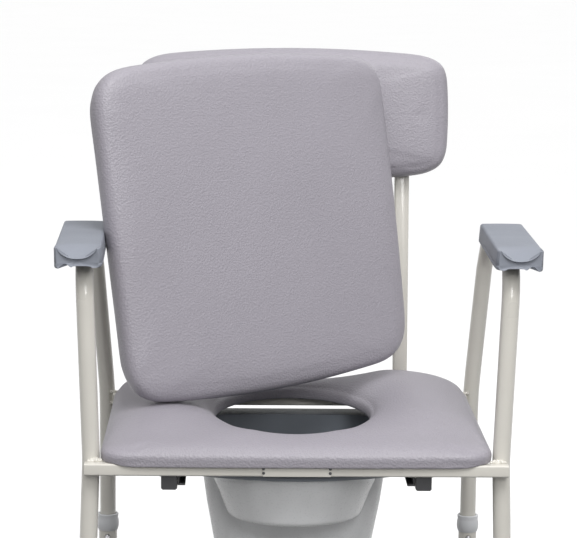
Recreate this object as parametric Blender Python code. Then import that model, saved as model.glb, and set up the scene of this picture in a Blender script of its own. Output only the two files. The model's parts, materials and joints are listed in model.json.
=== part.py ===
"""Bedside commode chair: welded steel frame, leg extensions, lift-off seat, loose infill cushion,
lift-off backrest and a slide-in pan.

Millimetres while shaping, metres in the scene. +Z is up, the front faces -Y, +X is the chair's right
as seen from the front. The floor is Z = 0 and the footprint is centred on the origin.
"""

import bpy
import bmesh
import numpy as np
from math import cos, sin, pi, sqrt, atan2, radians
from mathutils import Vector

for old in list(bpy.data.objects):
    bpy.data.objects.remove(old, do_unlink=True)

MM = 0.001

# ---- driving dimensions, mm -------------------------------------------------------------------
RAIL_TOP = 445.0          # top of the seat rails above the floor
Y_ORIGIN = -218.885        # the front leg's centre line in the chair's frame
FRONT_TRACK = 254.6       # front tube centre to mid-plane at the rails
REAR_TRACK = 257.2        # rear tube centre to mid-plane at the rails
LEG_PITCH = 410.0         # front leg centre to rear leg centre
TUBE_R = 11.1             # frame tube
TUBE_WALL = 1.5
FRONT_SPLAY = 0.034       # sideways run of the front tubes per mm away from the rails
REAR_SPLAY = 0.086        # sideways run of the rear tubes per mm above the rails
ARM_Z = 247.0             # arm tube above the rails, at the front leg
ARM_FALL = 0.029          # the arm drops this much per mm towards the rear
ARM_FRONT_R = 50.0
ARM_REAR_R = 60.0
LEG_TUBE_END = -330.0     # lower end of the frame tubes, inside the extensions
SLEEVE_R = 12.9
SLEEVE_WALL = 1.3
SLEEVE_TOP = -186.0
COLLAR_TOP = -178.0
COLLAR_BOTTOM = -202.0
PIN_Z = -210.0            # snap button
PIN_R = 3.4
HOLE_PITCH = 25.0         # height settings in the sleeve
HOLE_COUNT = 5
FOOT_R = 17.0
FOOT_H = 34.0
RAIL = 15.0               # seat rails, square tube
RAIL_LENGTH = 523.0
REAR_RAIL_LENGTH = 498.0
PAN_RAIL = 20.0           # runners for the pan, square tube
PAN_RAIL_X = 157.5
SEAT_W = 487.0
SEAT_FRONT = -31.5
SEAT_REAR = 402.5
SEAT_BOARD = 9.0
HOLE_A = 103.0            # seat aperture, half width
HOLE_REAR = 139.0         # seat aperture, middle to rear edge
HOLE_FRONT = 157.0        # seat aperture, middle to front edge
HOLE_Y = 224.0
PAD_LOW = 14.0            # pad height at its rims
PAD_HIGH = 40.0           # pad height on the crown
POST = 20.0
POST_X = 156.0
POST_Y = 414.0            # post centre line at rail height
POST_LEAN = 0.098         # rearward run per mm of height
BACK_W = 432.0
BACK_LOW = 303.0
BACK_HIGH = 482.0
BACK_THICK = 42.0
PAN_TOP = -20.0
PAN_FRONT = -6.0
PAN_REAR = 390.0
PAN_HALF_W = 142.0
GAP = 0.3                 # air left between separate pieces


# ---- materials --------------------------------------------------------------------------------
def material(name, colour, roughness, metallic=0.0):
    m = bpy.data.materials.new(name)
    m.use_nodes = True
    b = m.node_tree.nodes["Principled BSDF"]
    b.inputs["Base Color"].default_value = (*colour, 1.0)
    b.inputs["Roughness"].default_value = roughness
    b.inputs["Metallic"].default_value = metallic
    return m


FRAME_PAINT = material("frame_paint", (0.62, 0.59, 0.54), 0.32)
VINYL = material("vinyl", (0.40, 0.38, 0.43), 0.55)
BOARD = material("board", (0.10, 0.09, 0.085), 0.7)
ARM_FOAM = material("arm_foam", (0.36, 0.38, 0.43), 0.5)
PAN_PLASTIC = material("pan_plastic", (0.38, 0.385, 0.39), 0.35)
BLACK_PLASTIC = material("black_plastic", (0.03, 0.03, 0.032), 0.5)
GREY_PLASTIC = material("grey_plastic", (0.34, 0.345, 0.37), 0.45)
RUBBER = material("rubber", (0.20, 0.20, 0.21), 0.8)
STEEL = material("steel", (0.55, 0.55, 0.56), 0.3, 1.0)


# ---- building blocks --------------------------------------------------------------------------
def place(point):
    """Work coordinates (front leg line, rail top) to the chair's frame, in metres."""
    return (point[0] * MM, (point[1] + Y_ORIGIN) * MM, (point[2] + RAIL_TOP) * MM)


def finish(name, verts, faces, mat, pivot=(0.0, 0.0, 0.0)):
    """One closed mesh object; its origin is at pivot."""
    at = Vector(place(pivot))
    mesh = bpy.data.meshes.new(name)
    mesh.from_pydata([Vector(place(v)) - at for v in verts], [], faces)
    bm = bmesh.new()
    bm.from_mesh(mesh)
    bmesh.ops.remove_doubles(bm, verts=bm.verts, dist=1e-6)
    bmesh.ops.recalc_face_normals(bm, faces=bm.faces)
    if bm.calc_volume(signed=True) < 0:
        bmesh.ops.reverse_faces(bm, faces=bm.faces)
    bm.to_mesh(mesh)
    bm.free()
    mesh.materials.append(mat)
    obj = bpy.data.objects.new(name, mesh)
    obj.location = at
    bpy.context.scene.collection.objects.link(obj)
    return obj


def loft(rings, closed=False, cap_start=True, cap_end=True):
    """Vertices and quads through rings of equal length; closed joins the last ring to the first."""
    verts = []
    faces = []
    n = len(rings[0])
    for ring in rings:
        verts.extend(tuple(p) for p in ring)
    rows = len(rings) if closed else len(rings) - 1
    for i in range(rows):
        a = i * n
        b = ((i + 1) % len(rings)) * n
        for k in range(n):
            j = (k + 1) % n
            faces.append((a + k, a + j, b + j, b + k))
    if not closed:
        if cap_start:
            faces.append(tuple(range(n)))
        if cap_end:
            faces.append(tuple((len(rings) - 1) * n + k for k in range(n)))
    return verts, faces


def fan_cap(verts, faces, ring_start, n, apex):
    """Close a ring with a fan to one apex point."""
    verts.append(tuple(apex))
    top = len(verts) - 1
    for k in range(n):
        faces.append((ring_start + k, ring_start + (k + 1) % n, top))


def circle(r, n, turn=0.0):
    return [(r * cos(2 * pi * k / n + turn), r * sin(2 * pi * k / n + turn)) for k in range(n)]


def frames_along(path):
    """Tangent and two carried normals at each point of a path."""
    pts = [np.array(p, float) for p in path]
    out = []
    normal = None
    for i, p in enumerate(pts):
        if i == 0:
            t = pts[1] - p
        elif i == len(pts) - 1:
            t = p - pts[i - 1]
        else:
            a = p - pts[i - 1]
            b = pts[i + 1] - p
            t = a / np.linalg.norm(a) + b / np.linalg.norm(b)
        t = t / np.linalg.norm(t)
        if normal is None:
            normal = np.array([1.0, 0.0, 0.0])
        normal = normal - t * float(normal @ t)
        normal = normal / np.linalg.norm(normal)
        out.append((p, t, normal, np.cross(t, normal)))
    return out


def hollow_sweep(path, r_out, r_in, n):
    """A round tube along a path, open at both ends."""
    outer = []
    inner = []
    for p, _, a, b in frames_along(path):
        outer.append([p + a * x + b * y for x, y in circle(r_out, n)])
        inner.append([p + a * x + b * y for x, y in circle(r_in, n)])
    return loft(outer + inner[::-1], closed=True)


def square_ring(half, corner):
    """Rounded square outline, eight points."""
    h = half
    c = half - corner
    return [(h, -c), (h, c), (c, h), (-c, h), (-h, c), (-h, -c), (-c, -h), (c, -h)]


def square_tube(start, end, half, wall, corner, side, up):
    """A square tube from start to end, open at both ends; side and up span its section."""
    s = np.array(side, float)
    u = np.array(up, float)
    rings = []
    for p in (start, end):
        rings.append([np.array(p, float) + s * x + u * y for x, y in square_ring(half, corner)])
    inner = max(corner - wall, 0.3)
    for p in (end, start):
        rings.append([np.array(p, float) + s * x + u * y for x, y in square_ring(half - wall, inner)])
    return loft(rings, closed=True)


def box(lo, hi, chamfer=0.0):
    """A box with its upright edges chamfered."""
    cx = (lo[0] + hi[0]) / 2
    cy = (lo[1] + hi[1]) / 2
    hx = (hi[0] - lo[0]) / 2
    hy = (hi[1] - lo[1]) / 2
    c = chamfer
    if c <= 0:
        ring = [(hx, -hy), (hx, hy), (-hx, hy), (-hx, -hy)]
    else:
        ring = [(hx, -hy + c), (hx, hy - c), (hx - c, hy), (-hx + c, hy),
                (-hx, hy - c), (-hx, -hy + c), (-hx + c, -hy), (hx - c, -hy)]
    return loft([[(cx + x, cy + y, z) for x, y in ring] for z in (lo[2], hi[2])])


def lathe(profile, n, centre, shear=0.0, turn=0.0):
    """Closed profile of (radius, z) turned about a near-upright line that leans sideways by shear."""
    rings = []
    for r, z in profile:
        rings.append([(centre[0] + shear * z + x, centre[1] + y, z) for x, y in circle(r, n, turn)])
    return rings


def rod(profile, n, point, axis):
    """Solid turned body: (radius, distance) stations along an axis, capped at both ends."""
    d = np.array(axis, float)
    d = d / np.linalg.norm(d)
    ref = np.array([1.0, 0.0, 0.0]) if abs(d[0]) < 0.9 else np.array([0.0, 0.0, 1.0])
    a = np.cross(d, ref)
    a = a / np.linalg.norm(a)
    b = np.cross(d, a)
    p = np.array(point, float)
    return loft([[p + d * s + a * x + b * y for x, y in circle(r, n)] for r, s in profile])


def subtract(target, name, verts, faces):
    """Cut a hidden solid out of target."""
    cutter = finish(name, verts, faces, STEEL)
    cutter.hide_render = True
    cutter.display_type = "WIRE"
    mod = target.modifiers.new(name, "BOOLEAN")
    mod.operation = "DIFFERENCE"
    mod.solver = "EXACT"
    mod.object = cutter
    bpy.context.view_layer.update()
    with bpy.context.temp_override(object=target, active_object=target, selected_objects=[target]):
        bpy.ops.object.modifier_apply(modifier=name)
    bpy.data.objects.remove(cutter, do_unlink=True)


# ---- outlines ---------------------------------------------------------------------------------
def rounded_outline(corners, cuts, bows, per_edge, per_corner):
    """Closed outline through four corners (counter-clockwise), edges bowed outward, corners eased."""
    pts = [np.array(c, float) for c in corners]
    m = len(pts)
    centre = sum(pts) / m
    out = []
    for i in range(m):
        p = pts[i]
        q = pts[(i + 1) % m]
        along = (q - p) / np.linalg.norm(q - p)
        away = np.array([along[1], -along[0]])
        if float(away @ ((p + q) / 2 - centre)) < 0:
            away = -away
        start = p + along * cuts[i]
        stop = q - along * cuts[(i + 1) % m]
        for k in range(per_edge):
            t = k / (per_edge - 1)
            out.append(start + (stop - start) * t + away * bows[i] * 4 * t * (1 - t))
        nxt = pts[(i + 2) % m]
        along2 = (nxt - q) / np.linalg.norm(nxt - q)
        leave = q + along2 * cuts[(i + 1) % m]
        for k in range(1, per_corner + 1):
            t = k / (per_corner + 1)
            out.append((1 - t) ** 2 * stop + 2 * t * (1 - t) * q + t * t * leave)
    return out


def inset(outline, d):
    """Outline moved inwards by d."""
    pts = [np.array(p, float) for p in outline]
    n = len(pts)
    out = []
    for k in range(n):
        along = pts[(k + 1) % n] - pts[k - 1]
        along = along / np.linalg.norm(along)
        out.append(pts[k] + np.array([-along[1], along[0]]) * d)
    return out


def pad_on_board(outline, lip, lip_low, board_top, side, crown, edge_r):
    """Upholstered pad, back face down: (rings, apex) with a lip that wraps the board's edge."""
    levels = [(lip, board_top), (lip, lip_low), (1.2, lip_low), (0.0, lip_low + 2.0), (0.0, side)]
    for k in range(1, 4):
        a = k / 3 * pi / 2
        levels.append((edge_r * (1 - cos(a)), side + edge_r * 0.62 * sin(a)))
    rings = [[(*p, z) for p in inset(outline, d)] for d, z in levels]
    shoulder = side + edge_r * 0.62
    centre = np.array([sum(p[0] for p in outline), sum(p[1] for p in outline)]) / len(outline)
    rim = [np.array(p) for p in inset(outline, edge_r)]
    for f in (0.8, 0.55, 0.28):
        h = shoulder + (crown - shoulder) * (1 - f ** 2.4)
        rings.append([(*(centre + (p - centre) * f), h) for p in rim])
    return rings, (*centre, crown)


def solid_from(rings, apex):
    """Close a pad: fan on the crown, flat plate under the recess."""
    verts, faces = loft(rings, cap_start=False, cap_end=False)
    n = len(rings[0])
    fan_cap(verts, faces, (len(rings) - 1) * n, n, apex)
    faces.append(tuple(range(n)))
    return verts, faces


def posed(verts, origin, u, v, w):
    """Local (u, v, w) coordinates to work coordinates."""
    o = np.array(origin, float)
    return [tuple(o + p[0] * u + p[1] * v + p[2] * w) for p in verts]


# ---- side frames ------------------------------------------------------------------------------
def tube_x_front(z):
    return FRONT_TRACK + FRONT_SPLAY * (sqrt(z * z + 36.0) - 6.0)


def tube_x_rear(z):
    soft = (z + sqrt(z * z + 400.0)) / 2
    return REAR_TRACK + REAR_SPLAY * (soft - 0.3)


def arm_z(y):
    return ARM_Z - ARM_FALL * y


def side_path(s):
    """Centre line from the front leg's lower end over the arm to the rear leg's lower end."""
    path = [(s * tube_x_front(z), 0.0, z) for z in (LEG_TUBE_END, -150.0, -40.0, -8.0, 25.0, 120.0)]
    fall = atan2(ARM_FALL, 1.0)
    turn_front = pi / 2 + fall
    top = arm_z(ARM_FRONT_R)
    base = top - ARM_FRONT_R
    x_front = tube_x_front(ARM_Z)
    x_rear = tube_x_rear(arm_z(LEG_PITCH))
    for k in range(6):
        a = turn_front * k / 5
        y = ARM_FRONT_R * (1 - cos(a))
        z = base + ARM_FRONT_R * sin(a)
        blend = y / LEG_PITCH
        x = tube_x_front(min(z, ARM_Z)) + (x_rear - x_front) * blend
        path.append((s * x, y, z))
    path.append((s * (x_front + (x_rear - x_front) * 0.5), LEG_PITCH * 0.5, arm_z(LEG_PITCH * 0.5)))
    turn_rear = pi / 2 - fall
    end_z = arm_z(LEG_PITCH - ARM_REAR_R) - ARM_REAR_R
    for k in range(6):
        a = turn_rear * (1 - k / 5)
        y = LEG_PITCH - ARM_REAR_R * (1 - cos(a))
        z = end_z + ARM_REAR_R * sin(a)
        x_arm = x_front + (x_rear - x_front) * y / LEG_PITCH
        x_leg = tube_x_rear(z)
        w = k / 5
        path.append((s * (x_arm * (1 - w) + x_leg * w), y, z))
    path += [(s * tube_x_rear(z), LEG_PITCH, z) for z in (90.0, 30.0, 0.0, -40.0, -150.0, LEG_TUBE_END)]
    return path


ARM_SCREW_Y = (70.0, 230.0)


def arm_centre_x(y):
    x_front = tube_x_front(ARM_Z)
    x_rear = tube_x_rear(arm_z(LEG_PITCH))
    return x_front + (x_rear - x_front) * y / LEG_PITCH


LEGS = {
    "front_left": (-1, 0.0, -FRONT_SPLAY),
    "front_right": (1, 0.0, FRONT_SPLAY),
    "rear_left": (-1, LEG_PITCH, 0.0),
    "rear_right": (1, LEG_PITCH, 0.0),
}


def leg_axis(name):
    """Point on the leg's line at rail height, with its sideways lean per mm of drop."""
    s, y, lean = LEGS[name]
    if y == 0.0:
        return (s * (FRONT_TRACK - FRONT_SPLAY * 6.0), y), -lean
    return (s * tube_x_rear(-200.0), y), 0.0


for s, side in ((-1, "left"), (1, "right")):
    verts, faces = hollow_sweep(side_path(s), TUBE_R, TUBE_R - TUBE_WALL, 16)
    frame = finish(f"side_frame_{side}", verts, faces, FRAME_PAINT)
    for end in ("front", "rear"):
        (ax, ay), lean = leg_axis(f"{end}_{side}")
        v, f = rod([(PIN_R + 0.4, 0.0), (PIN_R + 0.4, TUBE_R + 4.0)], 12,
                   (ax + lean * PIN_Z, ay, PIN_Z), (0, -1, 0))
        subtract(frame, f"pin_hole_{end}_{side}", v, f)
    for k, y in enumerate(ARM_SCREW_Y):
        v, f = rod([(3.1, -16.0), (3.1, 16.0)], 12, (s * arm_centre_x(y), y, arm_z(y)), (0, 0, 1))
        subtract(frame, f"screw_hole_{k}_{side}", v, f)

# ---- legs: extension, collar, snap button, foot -----------------------------------------------
for name in LEGS:
    (ax, ay), lean = leg_axis(name)
    inner_r = SLEEVE_R - SLEEVE_WALL
    foot_z = -RAIL_TOP
    sleeve_end = foot_z + 6.0
    pivot = (ax + lean * SLEEVE_TOP, ay, SLEEVE_TOP)
    outer = lathe([(SLEEVE_R, sleeve_end), (SLEEVE_R, SLEEVE_TOP)], 20, (ax, ay), lean)
    bore = lathe([(inner_r, SLEEVE_TOP), (inner_r, sleeve_end)], 20, (ax, ay), lean)
    verts, faces = loft(outer + bore, closed=True)
    sleeve = finish(f"leg_extension_{name}", verts, faces, FRAME_PAINT, pivot)
    for k in range(HOLE_COUNT):
        z = PIN_Z - HOLE_PITCH * k
        v, f = rod([(PIN_R + 0.4, 0.0), (PIN_R + 0.4, SLEEVE_R + 6.0)], 12, (ax + lean * z, ay, z), (0, -1, 0))
        subtract(sleeve, f"sleeve_hole_{name}_{k}", v, f)

    high, low = COLLAR_TOP, COLLAR_BOTTOM
    out = [(SLEEVE_R + GAP, low), (14.0, low), (15.4, low + 3.2), (15.4, high - 4.5), (13.6, high),
           (TUBE_R + 0.9, high), (TUBE_R + 0.9, SLEEVE_TOP + GAP), (SLEEVE_R + GAP, SLEEVE_TOP + GAP)]
    rings = lathe(out, 20, (ax, ay), lean)
    verts, faces = loft(rings, closed=True)
    finish(f"collar_{name}", verts, faces, GREY_PLASTIC, pivot)

    head = SLEEVE_R + 2.4
    pin = [(PIN_R, TUBE_R - TUBE_WALL + 0.2), (PIN_R, SLEEVE_R + 0.6), (PIN_R * 0.86, SLEEVE_R + 1.6),
           (PIN_R * 0.5, head)]
    at = (ax + lean * PIN_Z, ay, PIN_Z)
    verts, faces = rod(pin, 12, at, (0, -1, 0))
    finish(f"snap_button_{name}", verts, faces, STEEL, at)

    # the foot's sole is level even where the leg leans
    cup = SLEEVE_R + GAP
    out = [(0.0, foot_z), (FOOT_R - 1.5, foot_z), (FOOT_R, foot_z + 2.0), (FOOT_R - 0.6, foot_z + 9.0),
           (15.2, foot_z + 13.0), (15.0, foot_z + FOOT_H - 2.0), (14.2, foot_z + FOOT_H),
           (cup, foot_z + FOOT_H), (cup, sleeve_end - GAP), (0.0, sleeve_end - GAP)]
    rings = lathe(out[1:-1], 20, (ax, ay), lean)
    verts, faces = loft(rings)
    finish(f"foot_{name}", verts, faces, RUBBER, (ax + lean * foot_z, ay, foot_z))

# ---- seat rails -------------------------------------------------------------------------------
for name, back_face, length in (("front_rail", -TUBE_R - GAP, RAIL_LENGTH),
                                ("rear_rail", LEG_PITCH - TUBE_R - GAP, REAR_RAIL_LENGTH)):
    y = back_face - RAIL / 2
    z = -RAIL / 2
    half = length / 2
    verts, faces = square_tube((-half, y, z), (half, y, z), RAIL / 2, 1.3, 1.6, (0, 1, 0), (0, 0, 1))
    finish(name, verts, faces, FRAME_PAINT)

# ---- pan runners, plugs, guides ---------------------------------------------------------------
RUN_FRONT = -12.0
RUN_REAR = 391.0
RUN_Z = -RAIL - GAP - PAN_RAIL / 2
GUIDE_IN = 137.5
for s, side in ((-1, "left"), (1, "right")):
    x = s * PAN_RAIL_X
    verts, faces = square_tube((x, RUN_FRONT, RUN_Z), (x, RUN_REAR, RUN_Z), PAN_RAIL / 2, 1.4, 1.8,
                               (1, 0, 0), (0, 0, 1))
    finish(f"pan_rail_{side}", verts, faces, FRAME_PAINT)
    for end, y, d in (("front", RUN_FRONT, -1.0), ("rear", RUN_REAR, 1.0)):
        stem = PAN_RAIL / 2 - 1.4 - GAP
        cap = PAN_RAIL / 2
        rings = []
        for half, corner, off in ((stem - 0.8, 0.8, -14.0), (stem, 0.8, -12.0), (stem, 0.8, GAP),
                                  (cap, 2.0, GAP), (cap, 2.0, 2.0), (cap - 1.2, 2.0, 3.0)):
            rings.append([(x + a, y + d * off, RUN_Z + b) for a, b in square_ring(half, corner)])
        verts, faces = loft(rings)
        finish(f"rail_plug_{end}_{side}", verts, faces, BLACK_PLASTIC)
    # channel guide on the runner's inner face, open towards the pan
    face = PAN_RAIL_X - PAN_RAIL / 2 - GAP
    web = face - 2.2
    slot_top = PAN_TOP + 1.2
    slot_low = PAN_TOP - 7.8
    prof = [(face, -15.4), (GUIDE_IN, -15.4), (GUIDE_IN, slot_top), (web, slot_top), (web, slot_low),
            (GUIDE_IN, slot_low), (GUIDE_IN, slot_low - 2.6), (face, slot_low - 2.6)]
    rings = [[(s * a, yy, b) for a, b in prof] for yy in (RUN_FRONT + 2.0, 380.0)]
    verts, faces = loft(rings)
    finish(f"pan_guide_{side}", verts, faces, BLACK_PLASTIC)

# ---- seat -------------------------------------------------------------------------------------
SEAT_Z = 1.8              # underside of the seat board, above the rails
PER_EDGE = 7
PER_CORNER = 5
half_w = SEAT_W / 2
seat_outline = rounded_outline(
    [(-half_w, SEAT_FRONT), (half_w, SEAT_FRONT), (half_w, SEAT_REAR), (-half_w, SEAT_REAR)],
    [34.0, 34.0, 74.0, 74.0], [2.0, 0.0, 0.8, 0.0], PER_EDGE, PER_CORNER)


def hole_outline(grow):
    """Aperture points that face the seat outline's points."""
    out = []
    for p in seat_outline:
        a = atan2((p[1] - HOLE_Y) / (HOLE_REAR + 90.0), p[0] / (HOLE_A + 140.0))
        half_depth = HOLE_REAR if sin(a) > 0 else HOLE_FRONT
        out.append(np.array([(HOLE_A + grow) * cos(a), HOLE_Y + (half_depth + grow) * sin(a)]))
    return out


def ring_at(points, z):
    return [(p[0], p[1], z) for p in points]


SEAT_LIP = 3.6
board_top = SEAT_Z + SEAT_BOARD
pad_base = board_top + GAP
outer_board = inset(seat_outline, SEAT_LIP + GAP)
inner_board = hole_outline(SEAT_LIP + GAP)
verts, faces = loft([ring_at(outer_board, SEAT_Z), ring_at(outer_board, board_top),
                     ring_at(inner_board, board_top), ring_at(inner_board, SEAT_Z)], closed=True)
finish("seat_board", verts, faces, BOARD)


def hem_at(distance, droop):
    """Hem of the cover: it hangs in front of the front rail and stops above the rails elsewhere."""
    rows = []
    for edge, p in zip(seat_outline, inset(seat_outline, distance)):
        front = edge[1] < SEAT_FRONT + 0.5
        rows.append((p[0], p[1], -droop if front else 0.6 + (3.0 - droop) * 0.4))
    return rows


rings = [ring_at(inset(seat_outline, SEAT_LIP), pad_base), hem_at(SEAT_LIP, 2.6), hem_at(1.0, 3.0),
         hem_at(0.0, 1.0), ring_at(seat_outline, 9.0), ring_at(inset(seat_outline, 2.0), PAD_LOW - 1.2)]
start = inset(seat_outline, 6.0)
stop = hole_outline(7.0)
for t in (0.0, 0.12, 0.28, 0.5, 0.72, 0.88, 1.0):
    row = []
    for a, b in zip(start, stop):
        span = float(np.linalg.norm(np.array(b) - np.array(a)))
        p = np.array(a) + (np.array(b) - np.array(a)) * t
        forward = 0.42 + 0.58 * min(1.0, max(0.0, (p[1] - 10.0) / 230.0))
        flank = min(1.0, max(0.0, (abs(p[0]) - 70.0) / 90.0))
        fuller = forward + (1.0 - forward) * flank * min(1.0, max(0.0, (p[1] - 20.0) / 90.0))
        rise = (PAD_HIGH - PAD_LOW) * fuller * min(1.0, span / 125.0) * (4 * t * (1 - t)) ** 0.7
        row.append((p[0], p[1], PAD_LOW + 1.0 + rise))
    rings.append(row)
rings += [ring_at(hole_outline(2.0), PAD_LOW - 1.0), ring_at(hole_outline(0.0), PAD_LOW - 5.0),
          ring_at(hole_outline(0.0), 0.6), ring_at(hole_outline(1.0), -0.6),
          ring_at(hole_outline(SEAT_LIP), -0.6), ring_at(hole_outline(SEAT_LIP), pad_base)]
verts, faces = loft(rings, closed=True)
finish("seat_cushion", verts, faces, VINYL)

# front clip folded over the rail and four locating blocks under the board
front_face = -TUBE_R - GAP - RAIL
clip = [(front_face + 8.0, GAP), (front_face + 8.0, 1.4), (front_face - 1.5, 1.4),
        (front_face - 1.5, -RAIL + 0.4), (front_face - GAP, -RAIL + 0.4), (front_face - GAP, GAP)]
verts, faces = loft([[(x, a, b) for a, b in clip] for x in (-42.0, 42.0)])
finish("seat_front_clip", verts, faces, FRAME_PAINT)
for s, side in ((-1, "left"), (1, "right")):
    for end, lo, hi in (("front", -TUBE_R + GAP, -TUBE_R + GAP + 8.0),
                        ("rear", LEG_PITCH - TUBE_R - RAIL - GAP - 8.6, LEG_PITCH - TUBE_R - RAIL - GAP - 0.6)):
        verts, faces = box((s * 185.0 - 14.0, lo, -11.0), (s * 185.0 + 14.0, hi, SEAT_Z - GAP), 1.5)
        finish(f"seat_block_{end}_{side}", verts, faces, BLACK_PLASTIC)

# ---- backrest ---------------------------------------------------------------------------------
lean_len = sqrt(1 + POST_LEAN ** 2)
POST_UP = np.array([0.0, POST_LEAN, 1.0]) / lean_len
POST_FWD = np.array([0.0, -1.0, POST_LEAN]) / lean_len
SIDE = np.array([1.0, 0.0, 0.0])


def on_post(x, z, forward=0.0):
    return np.array([x, POST_Y + POST_LEAN * z, z]) + POST_FWD * forward


BACK_BOARD = 9.0
BOLT_Z = (335.0, 440.0)
POST_FOOT = -42.0
for s, side in ((-1, "left"), (1, "right")):
    x = s * POST_X
    verts, faces = square_tube(on_post(x, POST_FOOT - 3.0), on_post(x, -5.0), 12.6, 2.0, 2.2, SIDE, POST_FWD)
    finish(f"post_socket_{side}", verts, faces, FRAME_PAINT)
    verts, faces = square_tube(on_post(x, POST_FOOT), on_post(x, 466.0), POST / 2, 1.4, 1.8, SIDE, POST_FWD)
    post = finish(f"backrest_post_{side}", verts, faces, FRAME_PAINT)
    for k, z in enumerate(BOLT_Z):
        v, f = rod([(3.4, -16.0), (3.4, 16.0)], 12, on_post(x, z), POST_FWD)
        subtract(post, f"bolt_hole_{k}_{side}", v, f)

back_mid = (BACK_LOW + BACK_HIGH) / 2
back_half_h = (BACK_HIGH - BACK_LOW) / 2 * lean_len
back_outline = rounded_outline(
    [(-BACK_W / 2, -back_half_h + 4), (BACK_W / 2, -back_half_h + 4),
     (BACK_W / 2 - 2, back_half_h - 9), (-BACK_W / 2 + 2, back_half_h - 11)],
    [50.0, 50.0, 44.0, 50.0], [9.0, 3.0, 9.0, 3.0], PER_EDGE, PER_CORNER)
seat_face = POST / 2 + GAP
origin = on_post(0.0, back_mid, seat_face)
LIP = 3.5
board = inset(back_outline, LIP + GAP)
verts, faces = loft([[(*p, 0.0) for p in board], [(*p, BACK_BOARD) for p in board]])
back_board = finish("backrest_board", posed(verts, origin, SIDE, POST_UP, POST_FWD), faces, BOARD)
for s in (-1, 1):
    for k, z in enumerate(BOLT_Z):
        v, f = rod([(3.4, -4.0), (3.4, seat_face + 6.5)], 12, on_post(s * POST_X, z), POST_FWD)
        subtract(back_board, f"board_hole_{k}_{s + 1}", v, f)
rings, apex = pad_on_board(back_outline, LIP, 1.5, BACK_BOARD + GAP, 22.0, BACK_THICK, 15.0)
verts, faces = solid_from(rings, apex)
finish("backrest_cushion", posed(verts, origin, SIDE, POST_UP, POST_FWD), faces, VINYL)

for s, side in ((-1, "left"), (1, "right")):
    for k, z in enumerate(BOLT_Z):
        level = ("lower", "upper")[k]
        base = -POST / 2 - GAP
        prof = [(3.2, base - 3.6), (5.6, base - 2.6), (6.0, base), (3.0, base), (3.0, seat_face + 6.0)]
        verts, faces = rod(prof, 12, on_post(s * POST_X, z), POST_FWD)
        finish(f"backrest_bolt_{level}_{side}", verts, faces, STEEL)

# ---- loose infill cushion, stood on the seat and leaning back ---------------------------------
INFILL_LONG = 439.0
INFILL_SHORT = 424.0
INFILL_D = 446.0
INFILL_T = 44.0
INFILL_AT = (-49.4, 248.6, 263.0)
LEAN = radians(9.2)
YAW = radians(32.3)
ROLL = radians(1.8)
U0 = np.array([cos(YAW), sin(YAW), 0.0])
BACK = np.array([-sin(YAW), cos(YAW), 0.0])
V0 = cos(LEAN) * np.array([0.0, 0.0, 1.0]) + sin(LEAN) * BACK
U = cos(ROLL) * U0 + sin(ROLL) * V0
V = -sin(ROLL) * U0 + cos(ROLL) * V0
W = np.cross(U, V)
infill_outline = rounded_outline(
    [(-INFILL_D / 2 + 1.0, -INFILL_LONG / 2), (INFILL_D / 2 - 1.0, -INFILL_SHORT / 2),
     (INFILL_D / 2 - 1.0, INFILL_SHORT / 2), (-INFILL_D / 2 - 4.0, INFILL_LONG / 2)],
    [60.0, 62.0, 54.0, 72.0], [9.0, 2.0, 9.0, 0.4], PER_EDGE, PER_CORNER)
INFILL_BOARD = 6.0
base = np.array(INFILL_AT) - W * (INFILL_T / 2)
board = inset(infill_outline, 14.0)
verts, faces = loft([[(*p, 0.6) for p in board], [(*p, INFILL_BOARD) for p in board]])
finish("infill_board", posed(verts, base, U, V, W), faces, BOARD)
levels = [(14.0 - GAP, INFILL_BOARD + GAP), (14.0 - GAP, 1.5), (8.5, 1.5), (4.2, 5.5), (0.6, 13.0), (0.0, 25.0),
          (3.0, 33.0), (9.0, 38.0), (20.0, 40.5)]
rings = [[(*p, z) for p in inset(infill_outline, d)] for d, z in levels]
middle = sum(infill_outline) / len(infill_outline)
rim = inset(infill_outline, 20.0)
for f in (0.75, 0.4):
    rings.append([(*(middle + (p - middle) * f), INFILL_T - 3.5 * f ** 3) for p in rim])
verts, faces = solid_from(rings, (*middle, INFILL_T))
finish("infill_cushion", posed(verts, base, U, V, W), faces, VINYL)

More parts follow.
